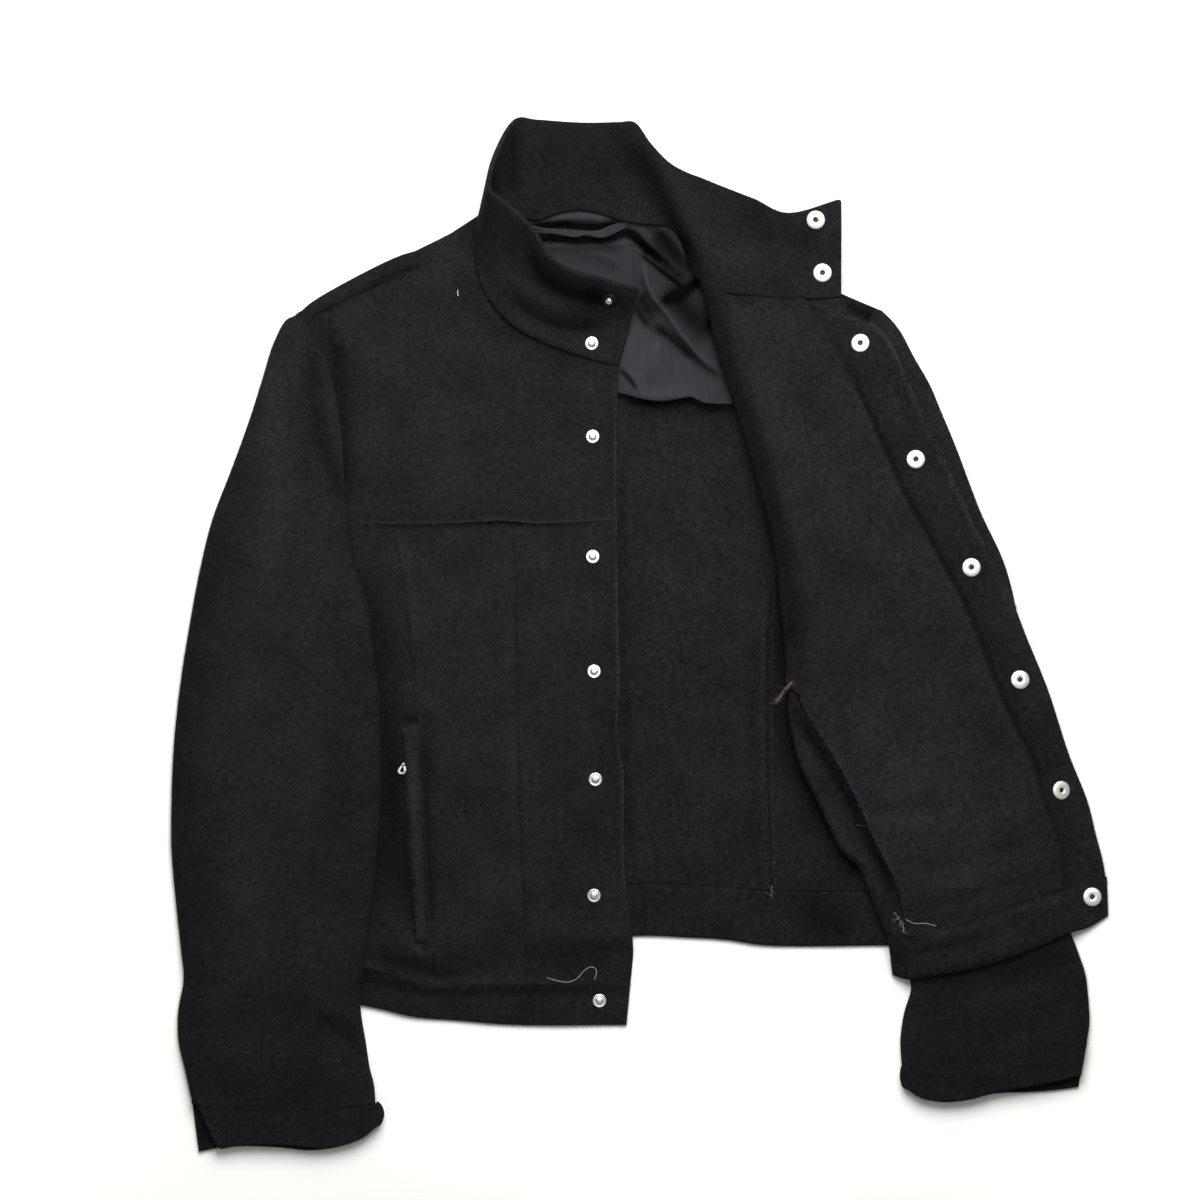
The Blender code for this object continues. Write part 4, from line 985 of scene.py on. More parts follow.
# left front: lower part on the back, roll at the fold, the part turned back over the sleeve, inside panel
v = places(lengthOf(seam("turnedEdge")))
words = ("Side", "Fold", "Inner", "Facing", "Edge")
side, fold, inner, facing, edge = (at(seam("turned" + word), v) for word in words)
beside = eased((-34 * mm - fold[:, 1]) / (16 * mm))  # 1 along the pocket, 0 above it
tuck = 5.2 * mm * unit(edge - fold)  # the roll's own bulge reaches the fold's line
fold, inner = fold + tuck, inner + tuck * (1 - beside)[:, None]
lowPlan = np.stack([side + (fold - side) * share for share in np.linspace(0.0, 1.0, 16)], axis=1)
lowZ = settled(under(lowPlan) + rest, 8) + wool / 2
low = withHeight(lowPlan, lowZ)
heapUp(raised(low, wool / 2))
sleeveLeft = {
    "loft": 6.5 * mm, "end": 8.2 * mm, "armFoot": 95 * mm, "underFrom": 0.27,
    "under": {"name": "sleeve_left_under_cloth", "node": "sleeve_left_under", "thick": wool,
              "look": outside, "on": ["front_left_cloth", "floor"]},
    "top": {
        "name": "sleeve_left_top_cloth", "node": "sleeve_left_top", "thick": wool, "look": outside,
        "on": ["sleeve_left_under_cloth"], "edges": (0.6, 0.15, 0.5, 0.5), "ripple": 0.5, "long": 80,
        "turn": 1.4, "fuzz": (0.6, 0, 0.6, 1), "tone": 0.92,
        "folds": [([(205, -262), (250, -268), (310, -262)], 9, 1.3),
                  ([(200, -285), (250, -292), (320, -280)], 8, -0.8),
                  ([(196, 215), (215, 176), (240, 115)], 8, 1.6),
                  ([(205, -310), (260, -308), (322, -294)], 5, 0.8)],
        # painted shade: the top sleeve darker all over, under the hem band, above the cuff, on its outer
        # side and near the collar's end
        "tones": [([(196, -260), (250, -254), (300, -240), (330, -228)], 12, -0.45),
                  ([(200, -320), (260, -317), (326, -302)], 1.4, -0.2),
                  ([(326, -250), (328, -275), (326, -300)], 7, -0.15),
                  ([(200, -300), (250, -300), (320, -290)], 16, -0.1),
                  ([(150, 250), (162, 243), (174, 238)], 6, -0.4)],
    },
}
laySleeve(sleeveLeft, "Left")
print("left sleeve laid")

spans = [(fold, inner, 4), (inner, facing, 56), (facing, edge, 22)]
columns = [fold] + [a + (b - a) * (k + 1) / count for a, b, count in spans for k in range(count)]
highPlan = np.stack(columns, axis=1)
bandTop = seam("bandLeftTop")
gap = np.interp(highPlan[-1, :, 0], bandTop[:, 0], bandTop[:, 1]) - 0.4 * mm - highPlan[-1, :, 1]
highPlan[..., 1] += np.clip((v - 0.7) / 0.3, 0.0, 1.0)[:, None] * gap
turnedFolds = [
    ([(137, 241), (158, 233), (175, 226), (186, 212), (196, 188), (222, 130), (262, 45),
      (300, -50)], 3.4, 2.6),
    ([(140, 232), (152, 226), (164, 220)], 6, -1.4),
    ([(129, 243), (148, 216), (178, 150), (214, 76), (252, 8), (282, -66), (302, -120)], 3.6, -1.5),
    ([(112, 240), (132, 205), (162, 140), (196, 68), (232, 2), (262, -66), (286, -120)], 9, 1.4),
    ([(165, -129), (200, -127), (235, -128)], 3.5, -1.4),
    ([(160, -139), (200, -138), (240, -139)], 8, 1.8),
    ([(205, 60), (225, 20), (240, -20)], 14, 1.1),
    ([(72, 230), (90, 180), (112, 110), (124, 40)], 15, 2.6),
    ([(130, 30), (170, -20), (220, -60)], 30, 1.2),
    ([(180, 200), (190, 180), (206, 150)], 7, -0.9),
    ([(192, 172), (206, 140), (224, 100)], 4, -0.8),
    ([(275, 10), (290, -20), (302, -60)], 6, 0.9),
    ([(314, -110), (322, -130), (330, -160)], 7, -0.9),
    ([(112, -70), (121, -95), (137, -127), (153, -154), (166, -178), (176, -206)], 5, 1.4),
    ([(190, -190), (230, -186), (280, -172), (310, -166)], 8, 1.2),
    ([(190, -204), (240, -196), (300, -178)], 5, -1.0),
]
foldRoll = 4.5 * mm
lowest = under(highPlan) + rest + wool / 2
lowest[:, 0] = np.maximum(lowest[:, 0], low[:, -1, 2] + 2 * foldRoll)
highZ = settled(lowest, 40) + 1.0 * mm
highZ = np.maximum(highZ + humps(highPlan, turnedFolds) + ripple(highPlan, 0.5, 90, 2.0), lowest)
high = withHeight(highPlan, highZ)
bandLeft = {
    "name": "hem_band_left_cloth", "node": "hem_band_left", "thick": double, "look": inside,
    "on": ["sleeve_left_top_cloth"], "edges": (0.15, 1, 1, 1), "fuzz": (0, 1, 0.6, 1), "ripple": 0.35,
    "grain": 107, "worn": (0, 0.05, 0.05, 0.1), "settle": 0,
    "folds": [([(200, -228), (244, -217), (280, -204), (330, -192)], 2.8, 0.9),
              ([(203, -234), (230, -230), (256, -222)], 2.2, -1.0),
              ([(205, -245), (260, -234), (320, -210)], 6, 0.6)],
    # painted shade at the band's foot, its left end and groove and along its seam, painted highlight on its
    # ridge
    "tones": [([(192, -254), (230, -250), (280, -237), (340, -214)], 4, -0.4),
              ([(190, -225), (196, -245)], 6, -0.3), ([(198, -235), (230, -230), (262, -220)], 2.2, -0.35),
              ([(190, -223), (240, -213), (300, -190)], 1.6, -0.25),
              ([(196, -228), (244, -216), (280, -203.5), (336, -188)], 2.2, 0.2)],
}
# the band comes up level with the panel and the strip along its seam
bandPlan = strip(bandTop, seam("bandLeftFoot"))
panelled = np.clip((64 - np.arange(high.shape[1])) / 4, 0.0, 1.0)
level = high[-1, :, 2] + wool / 2 + (wool + 0.4 * mm) * panelled - double
bandLow = settled(under(bandPlan) + rest, 24)
level = np.maximum(np.interp(bandPlan[0, :, 0], high[-1, :, 0], level) - bandLow[0], 0.0)
bandLow = bandLow + level * eased(np.linspace(1.0, 0.0, len(bandPlan)))[:, None]
bandLeftTop = layCloth(bandLeft, bandPlan, low=bandLow - rest)
way = unit(np.concatenate([fold - edge, np.zeros((len(v), 1))], axis=-1))
roll = (high[:, 0, 2] - low[:, -1, 2])[:, None, None] / 2
foldShade = ([(40, 290), (46, 270), (56, 240), (65, 205), (80, 160), (98, 100), (109, 40), (113, -20),
              (112, -56)], 7.5, -0.6)
frontLeft = {
    "name": "front_left_cloth", "node": "front_left", "thick": wool, "look": inside, "folds": turnedFolds,
    "grain": 23,
    "on": ["back_centre_cloth", "sleeve_left_top_cloth"], "edges": (1, 0.2, 1, 1), "fuzz": (0, 0, 0, 1),
    # painted shade along the fold, the facing's edge, the collar's end and the pocket, painted highlights
    # on the front edge's lip and the pocket facing
    "tones": [
        foldShade,
        ([(127, 244), (145, 216), (163, 181), (183, 136), (201, 97), (223, 57), (246, 13), (263, -32),
          (280, -69), (292, -92), (300, -122), (313, -158)], 2.4, -0.5),
        ([(134, 240), (154, 212), (172, 178), (192, 135), (210, 96), (233, 56), (256, 12), (273, -33),
          (290, -72), (305, -120), (320, -160)], 9, -0.14),
        ([(140, 236), (155, 235), (168, 231), (178, 225), (186, 214), (192, 200), (200, 183), (210, 162),
          (218, 145), (228, 122), (238, 100), (248, 78), (258, 60), (268, 40), (278, 20)], 2.0, 0.5),
        ([(152, 245), (164, 239), (177, 234)], 3.5, -0.7),
        ([(108, -44), (125, -72), (140, -95), (155, -121), (167, -146), (179, -170),
          (194, -206)], 5, -0.85),
        ([(113, -75), (121, -98), (133, -122), (147, -147), (161, -172), (172, -198)], 4, 0.2),
    ],
}
rolled = np.concatenate([halfTurn(low[:, -1], way, roll), high], axis=1)
addCurved(frontLeft, np.concatenate([low, rolled], axis=1))
heapUp(raised(high, wool / 2))
heapUp(bandLeftTop)
frontInside = {
    "name": "front_left_inside_cloth", "node": "front_left_inside", "thick": wool, "look": inside,
    "on": ["front_left_cloth"], "edges": (0.6, 0.2, 1, 1), "worn": (0, 0, 0.06, 0),
    "fuzz": (0, 0.6, 0.6, 0.6), "folds": turnedFolds, "grain": 23,
    # painted shade along the fold, in the pocket's grooves and low on the panel, painted light on its
    # ridges, its lower part and its edges
    "tones": [
        foldShade, ([(85, 225), (102, 190), (120, 145), (136, 100), (150, 50)], 13, 0.14),
        ([(150, 68), (178, 60), (200, 35), (222, 5)], 9, 0.14),
        ([(150, 50), (175, 40), (196, 12)], 8, -0.1),
        ([(165, -129.5), (198, -129), (232, -132)], 3.4, -0.3),
        ([(165, -141), (200, -140), (238, -143)], 7, 0.12),
        ([(195, -168), (240, -162), (292, -148)], 7, -0.28),
        ([(200, -188), (250, -182), (300, -172)], 6, 0.1),
        ([(195, -214), (240, -206), (300, -184)], 4, -0.2), ([(60, 250), (90, 248), (120, 244)], 5, -0.15),
        ([(150, -60), (205, -115), (225, -140), (260, -190)], 42, 0.45),
        ([(128, -66), (146, -92), (163, -123), (175, -150), (188, -176), (196, -200)], 1.6, 0.3),
        ([(122, 246), (140, 216), (158, 181), (178, 136), (196, 97), (218, 57), (241, 13), (258, -32),
          (275, -69), (295, -122), (308, -158)], 2.4, 0.15),
    ],
}
# the panel follows the roll above the pocket and starts at its own edge, a little raised, beside it
panel = (rolled + normalsOf(rolled) * (wool + 0.4 * mm))[:, 4:70]
steps = np.linalg.norm(np.diff(panel, axis=1), axis=-1)
along = np.concatenate([np.zeros((len(v), 1)), np.cumsum(steps, axis=1)], axis=1)
first, last = along[:, 9] * beside, along[:, -1]
ends = places((last - first).mean())
spots = first[:, None] + (last - first)[:, None] * ends
panel = np.stack([np.stack([np.interp(spots[j], along[j], panel[j, :, k]) for j in range(len(v))])
                  for k in range(3)], axis=-1)
panel[..., 2] += 1.3 * mm * beside[:, None] * np.exp(-(((spots - first[:, None]) / (9 * mm)) ** 2))
addCurved(frontInside, panel)
heapUp(raised(panel, wool / 2))
print("left front turned back")

cuffLeft = {
    "name": "cuff_left_cloth", "node": "cuff_left", "thick": double, "look": outside, "on": ["floor"],
    "slit": 0.0, "short": 9 * mm, "tuck": 0.018, "bulge": 0.9, "roll": 3.4 * mm, "edges": (0.15, 1, 1, 1),
    "worn": (0, 0.05, 0.05, 0.05), "fuzz": (0, 1, 0, 1), "tone": 0.78,
    # painted shade: the cuff much darker all over and along its turn
    "tones": [([(206, -330), (250, -331), (290, -326)], 3, -0.15)],
    "folds": [([(205, -326), (260, -323), (322, -308)], 4, 0.7)],
}
addCuff(cuffLeft, "Left")

# collar sections from its right end round the neck to its left end, at the middle of the cloth:
# foot across, up, height, top across, up, height (mm), and how late the section turns up
collarRows = [
    (-16, 198.5, 8.6, 0, 256, 21, 2.2), (-28, 201.5, 8.6, -21, 262, 22, 2.3),
    (-40, 205, 8.6, -37, 266, 24, 2.4), (-58, 211, 8.6, -54, 271, 27, 2.4),
    (-73, 217, 8.6, -65, 278, 30, 2.3), (-90, 226, 8.6, -71, 287, 33, 2.1),
    (-102, 236, 8.6, -78, 299, 38, 1.9), (-113, 250, 8.6, -90, 311, 44, 1.7),
    (-119, 266, 8.6, -102, 321, 49, 1.4), (-121, 288, 7.8, -111, 330, 52, 1.2),
    (-118, 306, 5.6, -107, 352, 46, 1.1), (-98, 311, 4.6, -93, 380, 26, 1.2),
    (-77, 307, 5.6, -77, 381, 18, 1.0), (-61, 312, 6.4, -62, 380, 16, 0.9),
    (-46, 314.5, 6.4, -45, 379, 15, 0.9), (-31, 312.5, 6.4, -30, 379, 14, 0.9),
    (-15, 307, 6.6, -16, 379.5, 12, 0.9), (4, 304, 7.0, -3, 379, 9, 0.9),
    (20, 302, 7.2, 8, 364, 8, 0.9), (29, 294, 7.8, 20, 351, 10, 1.0),
    (36, 277, 9.5, 33, 343, 12, 1.0), (45, 260.5, 12.5, 46, 338, 13, 1.0),
    (58, 254.5, 15, 58, 333, 14, 1.0), (90, 250.5, 15.5, 84, 323, 13, 1.0),
    (122, 248.6, 15, 111, 312.5, 11, 1.0), (149, 250, 14, 149, 323, 12, 1.0),
]
collar = {
    "name": "collar_cloth", "node": "collar", "thick": double, "look": outside,
    "on": ["yoke_cloth", "floor"],
    "edges": (1, 0.5, 1, 1), "worn": (0, 0, 0.05, 0.05), "fuzz": (1, 0, 1, 1), "stands": True, "tone": 0.86,
    # the collar darker all over by its tone, as painted shade
    "tones": [
        # painted shade and light on the flap: hollow under its upper edge, ridge, second hollow, lower
        # ridge, lip and seam
        ([(-95, 268), (-75, 250), (-50, 241), (-20, 240)], 22, -0.28),
        ([(-44, 266), (-18, 251), (2, 236)], 11, -0.3),
        ([(-84, 296), (-79, 278), (-70, 264), (-56, 255), (-38, 251), (-12, 245)], 8, -0.4),
        ([(-108, 300), (-96, 268), (-76, 250), (-60, 243), (-46, 240)], 4.5, 0.22),
        ([(-102, 257), (-86, 243), (-66, 232), (-45, 228), (-22, 234)], 5, -0.32),
        ([(-48, 246), (-26, 238), (-8, 244)], 11, -0.2),
        ([(-106, 248), (-85, 231), (-60, 221), (-30, 213)], 5, 0.2),
        ([(-110, 328), (-98, 319), (-82, 305), (-75, 296), (-69, 284), (-60, 277), (-44, 269), (-20, 263),
          (0, 258)], 2.2, 0.35),
        ([(-122, 266), (-113, 248), (-97, 233), (-76, 220), (-42, 207), (-18, 201)], 2.0, -0.25),
        # the back: painted light on a band inside its left edge, painted shade in the crease beside it and
        # of the long fold on its right
        ([(-113, 338), (-108, 354), (-101, 370)], 6, 0.45),
        ([(-92, 377), (-94, 352), (-92, 326)], 5.5, -0.42),
        ([(-80, 352), (-50, 346), (-10, 346)], 26, -0.27), ([(-18, 373), (-12, 366), (-6, 357)], 7, -0.22),
        ([(-12, 370), (-2, 352), (8, 334), (18, 314), (28, 294), (38, 272)], 11, -0.48),
        ([(28, 300), (40, 274), (52, 248)], 8, -0.5),
        ([(22, 348), (60, 324), (108, 306)], 9, -0.12), ([(55, 285), (85, 282), (120, 276)], 10, 0.12),
    ],
    "folds": [([(-5, 368), (3, 352), (12, 333), (24, 305), (35, 282), (42, 266)], 6, -4.0),
              ([(10, 364), (22, 340), (38, 308), (52, 276)], 10, 3.5),
              ([(60, 302), (100, 290), (140, 292)], 16, -4.0),
              ([(120, 310), (136, 300), (146, 280)], 9, 1.0),
              ([(-84, 296), (-79, 278), (-70, 264), (-56, 255), (-38, 250), (-12, 243)], 7, -4.5),
              ([(-96, 266), (-76, 249), (-60, 242), (-46, 239)], 5, 2.4),
              ([(-100, 255), (-86, 242), (-66, 231), (-45, 227), (-24, 231)], 4, -1.8),
              ([(-80, 345), (-50, 350), (-15, 345)], 18, -1.0)],
}
table = smoothLine(collarRows, 20)
steps = np.linalg.norm(np.diff((table[:, :3] + table[:, 3:6]) / 2, axis=0), axis=1)
span = np.concatenate([[0.0], np.cumsum(steps)])
spots = places(span[-1] * mm) * span[-1]
table = np.stack([np.interp(spots, span, column) for column in table.T], axis=1)
foot, crown, late = table[:, :3] * mm, table[:, 3:6] * mm, table[:, 6]
fromEnd = np.minimum(spots, spots[-1] - spots) * mm
crown -= 3 * mm * (1 - roundOff(fromEnd, 3 * mm))[:, None] * unit(crown - foot)  # rounded corners
# level with the turned front along its neck seam
onFront = np.clip((foot[:, 0] - 44 * mm) / (12 * mm), 0.0, 1.0)
front = under(foot[:, :2] + shift - np.array([0, 7 * mm])) - double / 2 + 0.7 * mm
foot[:, 2] += onFront * (evened(front, 17) - foot[:, 2])
share = (1.0 - places(72 * mm))[:, None, None]  # from the crown, 1, down to the foot, 0
stand = foot + (crown - foot) * share
stand[..., 2] = foot[:, 2] + (crown - foot)[:, 2] * share[..., 0] ** late
stand[..., :2] += shift
stand[..., 2] += humps(stand, collar["folds"]) * np.clip((stand[..., 0] + 100 * mm) / (10 * mm), 0, 1)
stand[..., 2] = np.maximum(stand[..., 2], double / 2 + nearFloor)
addCurved(collar, stand)
heapUp(raised(stand, double / 2))
print("collar added")

snapSides = 40  # faces round a snap


def circle(count):
    # equal angles round a full turn
    return np.linspace(0, 2 * math.pi, count, endpoint=False)


def quadsOf(index):
    # faces between neighbouring rows of point numbers, where each row closes on itself
    after = np.roll(index, -1, axis=-1)
    corners = [index[..., :-1, :], after[..., :-1, :], after[..., 1:, :], index[..., 1:, :]]
    return np.stack(corners, axis=-1).reshape(-1, 4)


def seatOf(spot, radius):
    # the plane through the heap round a place: its slopes by least squares, its height the median
    turn = circle(24)
    ring = np.stack([np.cos(turn), np.sin(turn)], axis=-1)
    points = np.concatenate([spot + radius * share * ring for share in (0.35, 0.7, 1.0)])
    z = heap[cellsOf(points)]
    flat = np.column_stack([points - spot, np.ones(len(points))])
    slope = np.linalg.lstsq(flat, z, rcond=None)[0]
    height = np.median(z - flat[:, :2] @ slope[:2])
    return np.array([*spot, height]), unit(np.array([-slope[0], -slope[1], 1.0]))


def turned(profile, centre, axis):
    # a profile of radius and height turned about an axis: points, and their numbers in rows
    side = unit(np.cross(axis, [0.0, 1.0, 0.0]))
    angle = circle(snapSides)[:, None]
    ring = np.cos(angle) * side + np.sin(angle) * np.cross(axis, side)
    profile = np.array(profile) * mm
    points = centre + profile[:, 0, None, None] * ring + profile[:, 1, None, None] * axis
    return points.reshape(-1, 3), np.arange(len(profile) * snapSides).reshape(-1, snapSides)


def addSnap(name, cadNode, spec, spot):
    # a snap half: its body turned about the seat's normal and capped at both poles, its wire a closed ring
    centre, axis = seatOf(np.array(spot) * mm + shift, spec["radius"] * mm)
    points, index = turned(spec["body"], centre, axis)
    faces = quadsOf(index)
    looks = np.repeat(spec["looks"], snapSides).tolist()
    if "wire" in spec:
        made, loops = turned(spec["wire"], centre, axis)
        faces = np.concatenate([faces, quadsOf(np.concatenate([loops, loops[:1]])) + len(points)])
        points = np.concatenate([points, made])
        looks += [3] * loops.size
    snap = newMesh(name, points, faces, nickel, np.stack([index[0, ::-1], index[-1]]))
    for look in (holeAndShadeMetal, bright, brass):
        snap.data.materials.append(look)
    snap.data.polygons.foreach_set("material_index", looks + [spec["looks"][0], spec["looks"][-1]])
    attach(snap, "root")
    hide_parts(cadNode)


# looks of the rows: 0 nickel, 1 dark (the sockets' holes, and painted shade on the top stud), 2 bright
# nickel, 3 wire
stud = {  # flange with a rolled rim, dished face and a waisted post
    "radius": 5.4, "looks": [0] * 15,
    "body": [(0.02, 0.0), (4.8, 0.0), (5.1, 0.25), (5.05, 0.7), (4.7, 1.05), (4.1, 1.0), (3.4, 0.8),
             (2.9, 0.85), (2.4, 1.15), (2.15, 1.7), (2.2, 2.5), (2.45, 2.9), (2.4, 3.3), (2.0, 3.6),
             (1.2, 3.75), (0.02, 3.8)],
}
socket = {  # flanged ring round a dark hole with a wire in it
    "radius": 7.0, "looks": [2] * 11 + [1] * 3,
    "body": [(0.02, 0.0), (6.6, 0.0), (6.9, 0.3), (6.85, 0.75), (6.4, 1.05), (5.6, 1.25), (4.6, 1.45),
             (3.6, 1.55), (2.8, 1.5), (2.2, 1.35), (1.85, 1.1), (1.7, 0.75), (1.6, 0.35), (0.9, 0.3),
             (0.02, 0.3)],
    "wire": [(0.7, 0.28), (0.7, 0.7), (0.55, 0.8), (0.4, 0.7), (0.4, 0.28)],
}
# painted shade: the top stud lies in the collar's shadow, so its flange is painted dark and only its post
# stays nickel
shadedStud = stud | {"looks": [1] * 11 + [0] * 4}  # the top stud, dark round its post
studSpots = [(-22.5, 247.5), (-35.7, 215.8), (-35, 147), (-35, 58), (-34, -27), (-33, -107), (-34, -193),
             (-30, -271)]
socketSpots = [(130, 307), (135, 268), (163, 216), (204, 130), (245, 50), (281, -33), (312, -115),
               (335, -194)]
for kind, spec, spots in (("stud", stud, studSpots), ("socket", socket, socketSpots)):
    for number, spot in enumerate(spots, 1):
        form = shadedStud if (kind, number) == ("stud", 1) else spec
        addSnap(f"{kind}_{number}_metal", f"snap_{kind}_{number}", form, spot)
print("snaps added")


def addFibres(name, roots, ways, long, thin, look, rise=0.9, stray=0.45):
    # loose fibres: each a three-sided tapering tube along a bent path from its root
    count = len(roots)
    lift = dice.uniform(-0.15, rise, (count, 1)) * np.array([0.0, 0.0, 1.0])
    way = unit(ways + lift + dice.normal(0, stray, (count, 3)))
    bend = dice.normal(0, stray, (count, 3))
    size = long * dice.uniform(0.35, 1.0, (count, 1))
    path = np.stack([roots - way * 0.3 * mm, roots + way * size * 0.5,
                     roots + (way + bend * 0.5) * size], axis=1)
    path[..., 2] = np.maximum(path[..., 2], 0.1 * mm)
    side = unit(np.cross(way, [0.3, 0.2, 1.0]))
    angle = circle(3)[None, :, None]
    ring = np.cos(angle) * side[:, None] + np.sin(angle) * np.cross(way, side)[:, None]
    taper = thin * np.array([1.0, 0.75, 0.2])[None, :, None, None]
    points = (path[:, :, None] + taper * ring[:, None]).reshape(-1, 3)
    index = np.arange(count * 9).reshape(count, 3, 3)
    caps = np.concatenate([index[:, 0, ::-1], index[:, -1]])
    piece = newMesh(name, points, quadsOf(index), look, caps)
    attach(piece, "root")


def onHeap(points, count, above):
    # a listed line laid on the cloth: equal steps, at the evened height of the heap
    path = pathOf(points, count)
    return withHeight(path, evened(heap[cellsOf(path)], 5) + above * mm)


def addThread(name, points, thin, look, above=0.3):
    # a thread: a six-sided tube round a line on the cloth, with narrow closed ends
    rings, sides = 48, 6
    path = onHeap(points, rings, above)
    forward = unit(np.gradient(path, axis=0))
    side = unit(np.cross(forward, [0.0, 0.0, 1.0]))
    angle = circle(sides)[:, None]
    radius = thin * np.concatenate([[0.3], np.ones(rings - 2), [0.3]])[:, None, None]
    ring = np.cos(angle) * side[:, None] + np.sin(angle) * np.cross(forward, side)[:, None]
    index = np.arange(rings * sides).reshape(rings, sides)
    tube = (path[:, None] + radius * ring).reshape(-1, 3)
    piece = newMesh(name, tube, quadsOf(index), look, np.stack([index[0, ::-1], index[-1]]))
    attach(piece, "root")
    return piece, path


fuzzLook = threadLook("wool_fibre", (0.027, 0.0265, 0.0275, 1))
roots, ways = (np.concatenate(rows) for rows in zip(*fuzz))
addFibres("edge_fuzz", roots, ways, 2.4 * mm, 0.06 * mm, fuzzLook)
print("fuzz added")

# frayed places: line, fibres, length in millimetres, way across and up, look
brownThread = threadLook("brown_thread", (0.20, 0.14, 0.094, 1))
paleThread = threadLook("pale_thread", (0.46, 0.41, 0.34, 1))
whiteThread = threadLook("white_thread", (0.88, 0.87, 0.83, 1))
greyThread = threadLook("grey_thread", (0.13, 0.12, 0.108, 1))
frays = [
    ("pocket_tack_fray", [(113, -34), (107, -41), (101, -50)], 90, 5.5, (-0.5, -0.5), brownThread),
    ("pocket_tack_ends", [(112, -35), (107, -41), (103, -48)], 26, 5.0, (-0.4, -0.6), paleThread),
    ("pocket_edge_fray", [(163, -166), (165, -175), (168, -184)], 30, 4.0, (-0.6, 0.3), brownThread),
    ("pocket_foot_fray", [(188, -205), (193, -212), (196, -220)], 34, 6.0, (0.3, -0.6), paleThread),
    ("allowance_fray_right", [(99.5, 40), (98, -20), (97.5, -95), (98.5, -147), (100, -187)], 190, 2.2,
     (0.9, 0.2), greyThread),
    ("allowance_fray_left", [(92.5, 40), (91.5, -20), (91, -95), (92, -147), (95, -187)], 150, 2.2,
     (-0.9, 0.2), greyThread),
    ("allowance_end_fray", [(97.5, -186), (98, -190), (98, -194)], 9, 5.0, (0.1, -1.0), paleThread),
    ("panel_edge_fray", [(116, -48), (128, -66), (144, -91), (161, -122), (173, -149), (186, -174)], 60,
     2.2, (-0.8, 0.3), greyThread),
]
for name, line, count, long, way, look in frays:
    roots = onHeap(line, count, 0.2) + dice.normal(0, 0.5 * mm, (count, 3)) * np.array([1, 1, 0.2])
    ways = np.broadcast_to(np.array([*way, 0.0]), (count, 3))
    addFibres(name, roots, ways, long * mm, 0.11 * mm, look, 0.5, 0.5)

# stitches that show along the seams: line, how many, how long
stitchRows = [
    ("panel_stitch_outer", [(-184, 78), (-175, 38), (-169, -7), (-165, -54)], 46, 1.5),
    ("panel_stitch_inner", [(-95, 78), (-92, 40), (-91, -48), (-88, -147), (-85, -240)], 60, 1.3),
    ("shoulder_stitch", [(-243, 233), (-232, 239), (-213, 249), (-181, 263)], 22, 1.6),
    ("back_hem_stitch", [(10, -188), (60, -189), (98, -191), (140, -191)], 46, 1.8),
    ("front_hem_stitch", [(246, -205), (268, -198), (290, -193)], 9, 2.0),
]
for name, line, count, long in stitchRows:
    roots = onHeap(line, count, 0.1)
    ways = unit(np.gradient(roots, axis=0))
    kept = dice.uniform(0, 1, count) < 0.7
    addFibres(name, roots[kept], ways[kept], long * mm, 0.14 * mm, greyThread, 0.05, 0.12)

looseThread = [(-69, -254), (-60, -256.5), (-52, -257), (-46, -254), (-41, -248.5), (-36, -246),
               (-32.5, -248), (-32.5, -252), (-34, -255.5)]
strand, strandPath = addThread("loose_thread", looseThread, 0.23 * mm, paleThread)
addThread("fray_tail", [(196, -210), (203, -213), (211, -213), (219, -215)], 0.2 * mm, paleThread)
rubbedEdge = [(136, 237), (148, 236), (157, 234.5), (168, 231), (178, 225), (186, 214), (192, 200),
              (200, 183), (210, 162), (218, 145), (228, 122), (238, 100), (248, 78), (258, 60), (268, 40),
              (279, 18)]
rubbed = threadLook("rubbed_edge", (0.066, 0.064, 0.069, 1))
brownRub = threadLook("rubbed_brown", (0.062, 0.054, 0.049, 1))
# rubbed lips, kept where an evened row of dice lies above a limit: line, fibres, limit, look
rubs = [
    ("front_edge_rub", rubbedEdge, 560, -0.9, rubbed),
    ("yoke_edge_rub", [(x, y + 1.2) for x, y in lines["yokeSeam"]], 620, -0.6, brownRub),
    ("right_edge_rub", [(-17.5, 182), (-17.9, 152), (-17.9, 84), (-16.9, 11), (-15.9, -48), (-17.9, -68)],
     620, -0.1, brownRub),
    ("right_edge_rub_low", [(-13.9, -94), (-12.9, -104), (-12.9, -164), (-10.9, -190)], 230, 0.1, brownRub),
]
for name, line, count, limit, look in rubs:
    roots = onHeap(line, count, 0.15)
    ways = unit(np.gradient(roots, axis=0))
    kept = np.convolve(dice.normal(0, 1, count + 24), np.ones(25) / 5, "valid") > limit
    roots = roots + dice.normal(0, 0.5 * mm, roots.shape) * np.array([1, 1, 0.4])
    addFibres(name, roots[kept], ways[kept], 2.4 * mm, 0.13 * mm, look, 0.2, 0.4)
whiteLoop = [(-174.5, -95), (-177, -98), (-178.6, -101.5), (-175.6, -102.6), (-174, -100.5), (-174.6, -97)]
addThread("pocket_thread_loop", whiteLoop, 0.9 * mm, whiteThread, 0.9)
addThread("shoulder_lint", [(-134.8, 255.5), (-135, 253), (-134.6, 250.8)], 0.22 * mm, whiteThread)
addThread("pocket_lint", [(160, -140.2), (163, -140.8), (166.5, -140.4)], 0.1 * mm, greyThread)
print("threads added")

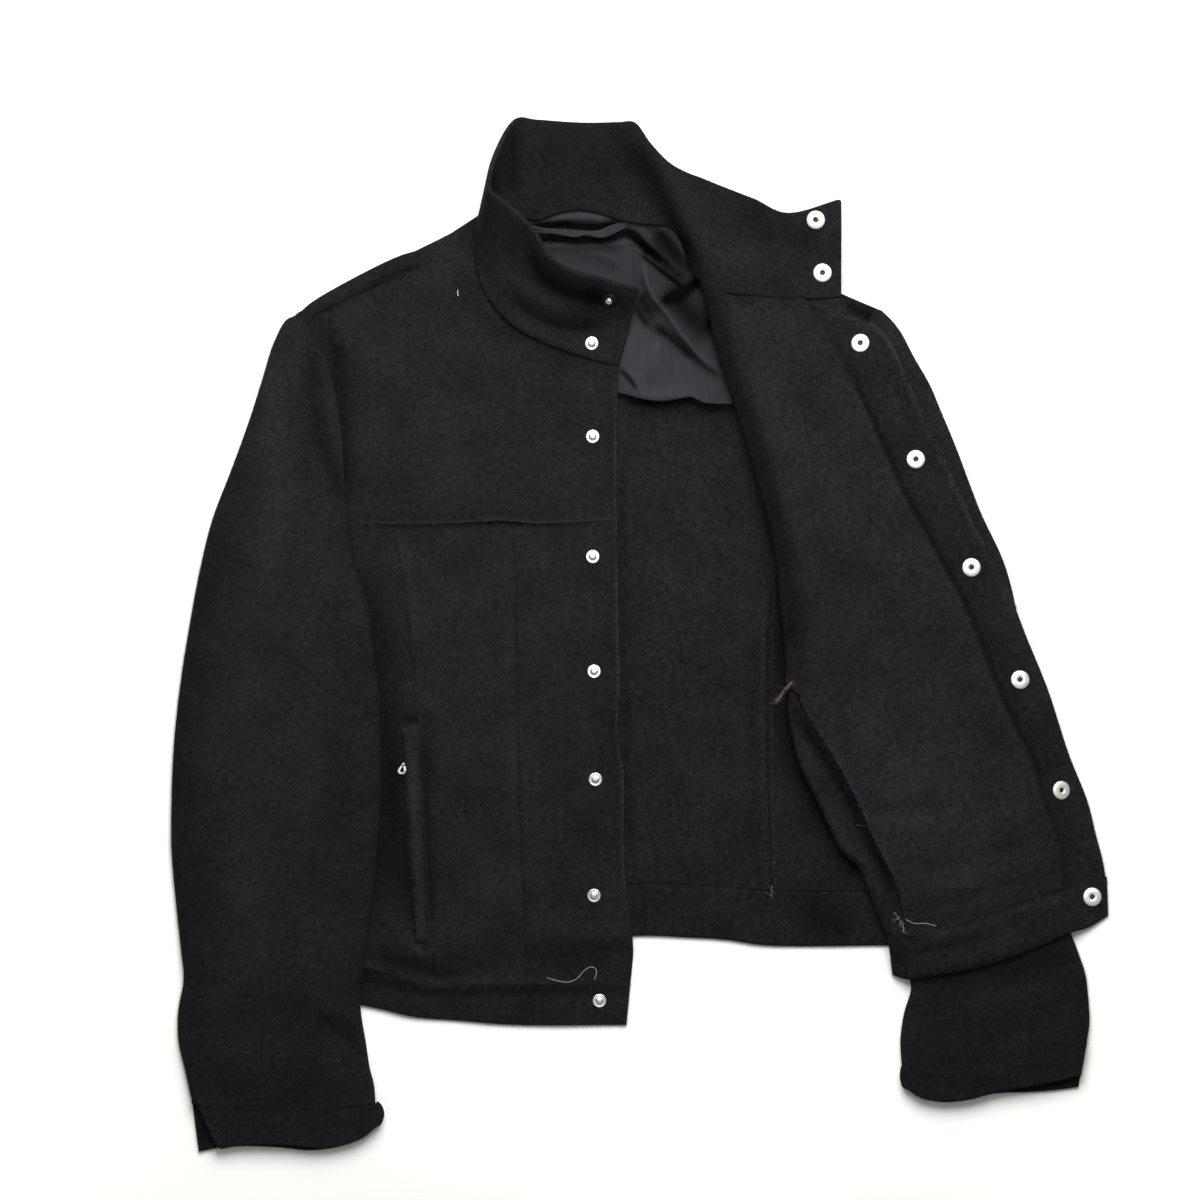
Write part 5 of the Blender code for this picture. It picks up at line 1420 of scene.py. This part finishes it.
# floor, light and camera
floorMesh = bpy.data.meshes.new("floor")
floorCorners = [(x, y, -0.2 * mm) for x, y in ((-4, -4), (4, -4), (4, 4), (-4, 4))]
floorMesh.from_pydata(floorCorners, [], [(0, 1, 2, 3)])
floorLook, floorTree, floorShader = newLook("pale_floor")
floorShader.inputs["Base Color"].default_value = (0.96, 0.943, 0.915, 1)
floorShader.inputs["Roughness"].default_value = 0.8
# painted light: the floor glows a little away from the garment, as a lit studio sweep looks
floorPlace = node(floorTree, "ShaderNodeTexCoord")
floorFar = node(floorTree, "ShaderNodeVectorMath", operation="LENGTH")
floorTree.links.new(floorPlace.outputs["Object"], floorFar.inputs[0])
floorGlow = ranged(floorTree, floorFar.outputs["Value"], 0.46, 0.64, 0.0, 0.12)
floorShader.inputs["Emission Color"].default_value = (1.0, 1.0, 1.0, 1)
floorTree.links.new(floorGlow, floorShader.inputs["Emission Strength"])
floorMesh.materials.append(floorLook)
floor = bpy.data.objects.new("floor", floorMesh)
bpy.context.scene.collection.objects.link(floor)


def addLight(name, place, target, size, power):
    # a disk lamp whose axis runs from its place to the target
    lamp = bpy.data.lights.new(name, "AREA")
    lamp.shape = "DISK"
    lamp.size = size
    lamp.energy = power
    light = bpy.data.objects.new(name, lamp)
    light.location = place
    light.rotation_euler = (Vector(target) - Vector(place)).to_track_quat("-Z", "Y").to_euler()
    bpy.context.scene.collection.objects.link(light)


addLight("window", (0.05, 0.75, 1.05), (0, 0.1, 0), 1.2, 31.5)
world = bpy.data.worlds.new("studio")
world.use_nodes = True
world.node_tree.nodes["Background"].inputs["Color"].default_value = (1.0, 1.0, 1.0, 1)
world.node_tree.nodes["Background"].inputs["Strength"].default_value = 0.3
bpy.context.scene.world = world
bpy.context.scene.view_settings.view_transform = "Standard"

lens = bpy.data.cameras.new("camera")
camera = bpy.data.objects.new("camera", lens)
camera.location = (-0.0296 + shift[0], 0.0259 + shift[1], 5.0)
lens.lens = 36 * 4.99 / 0.888
lens.clip_end = 50
bpy.context.scene.collection.objects.link(camera)
bpy.context.scene.camera = camera

print("scene ready")
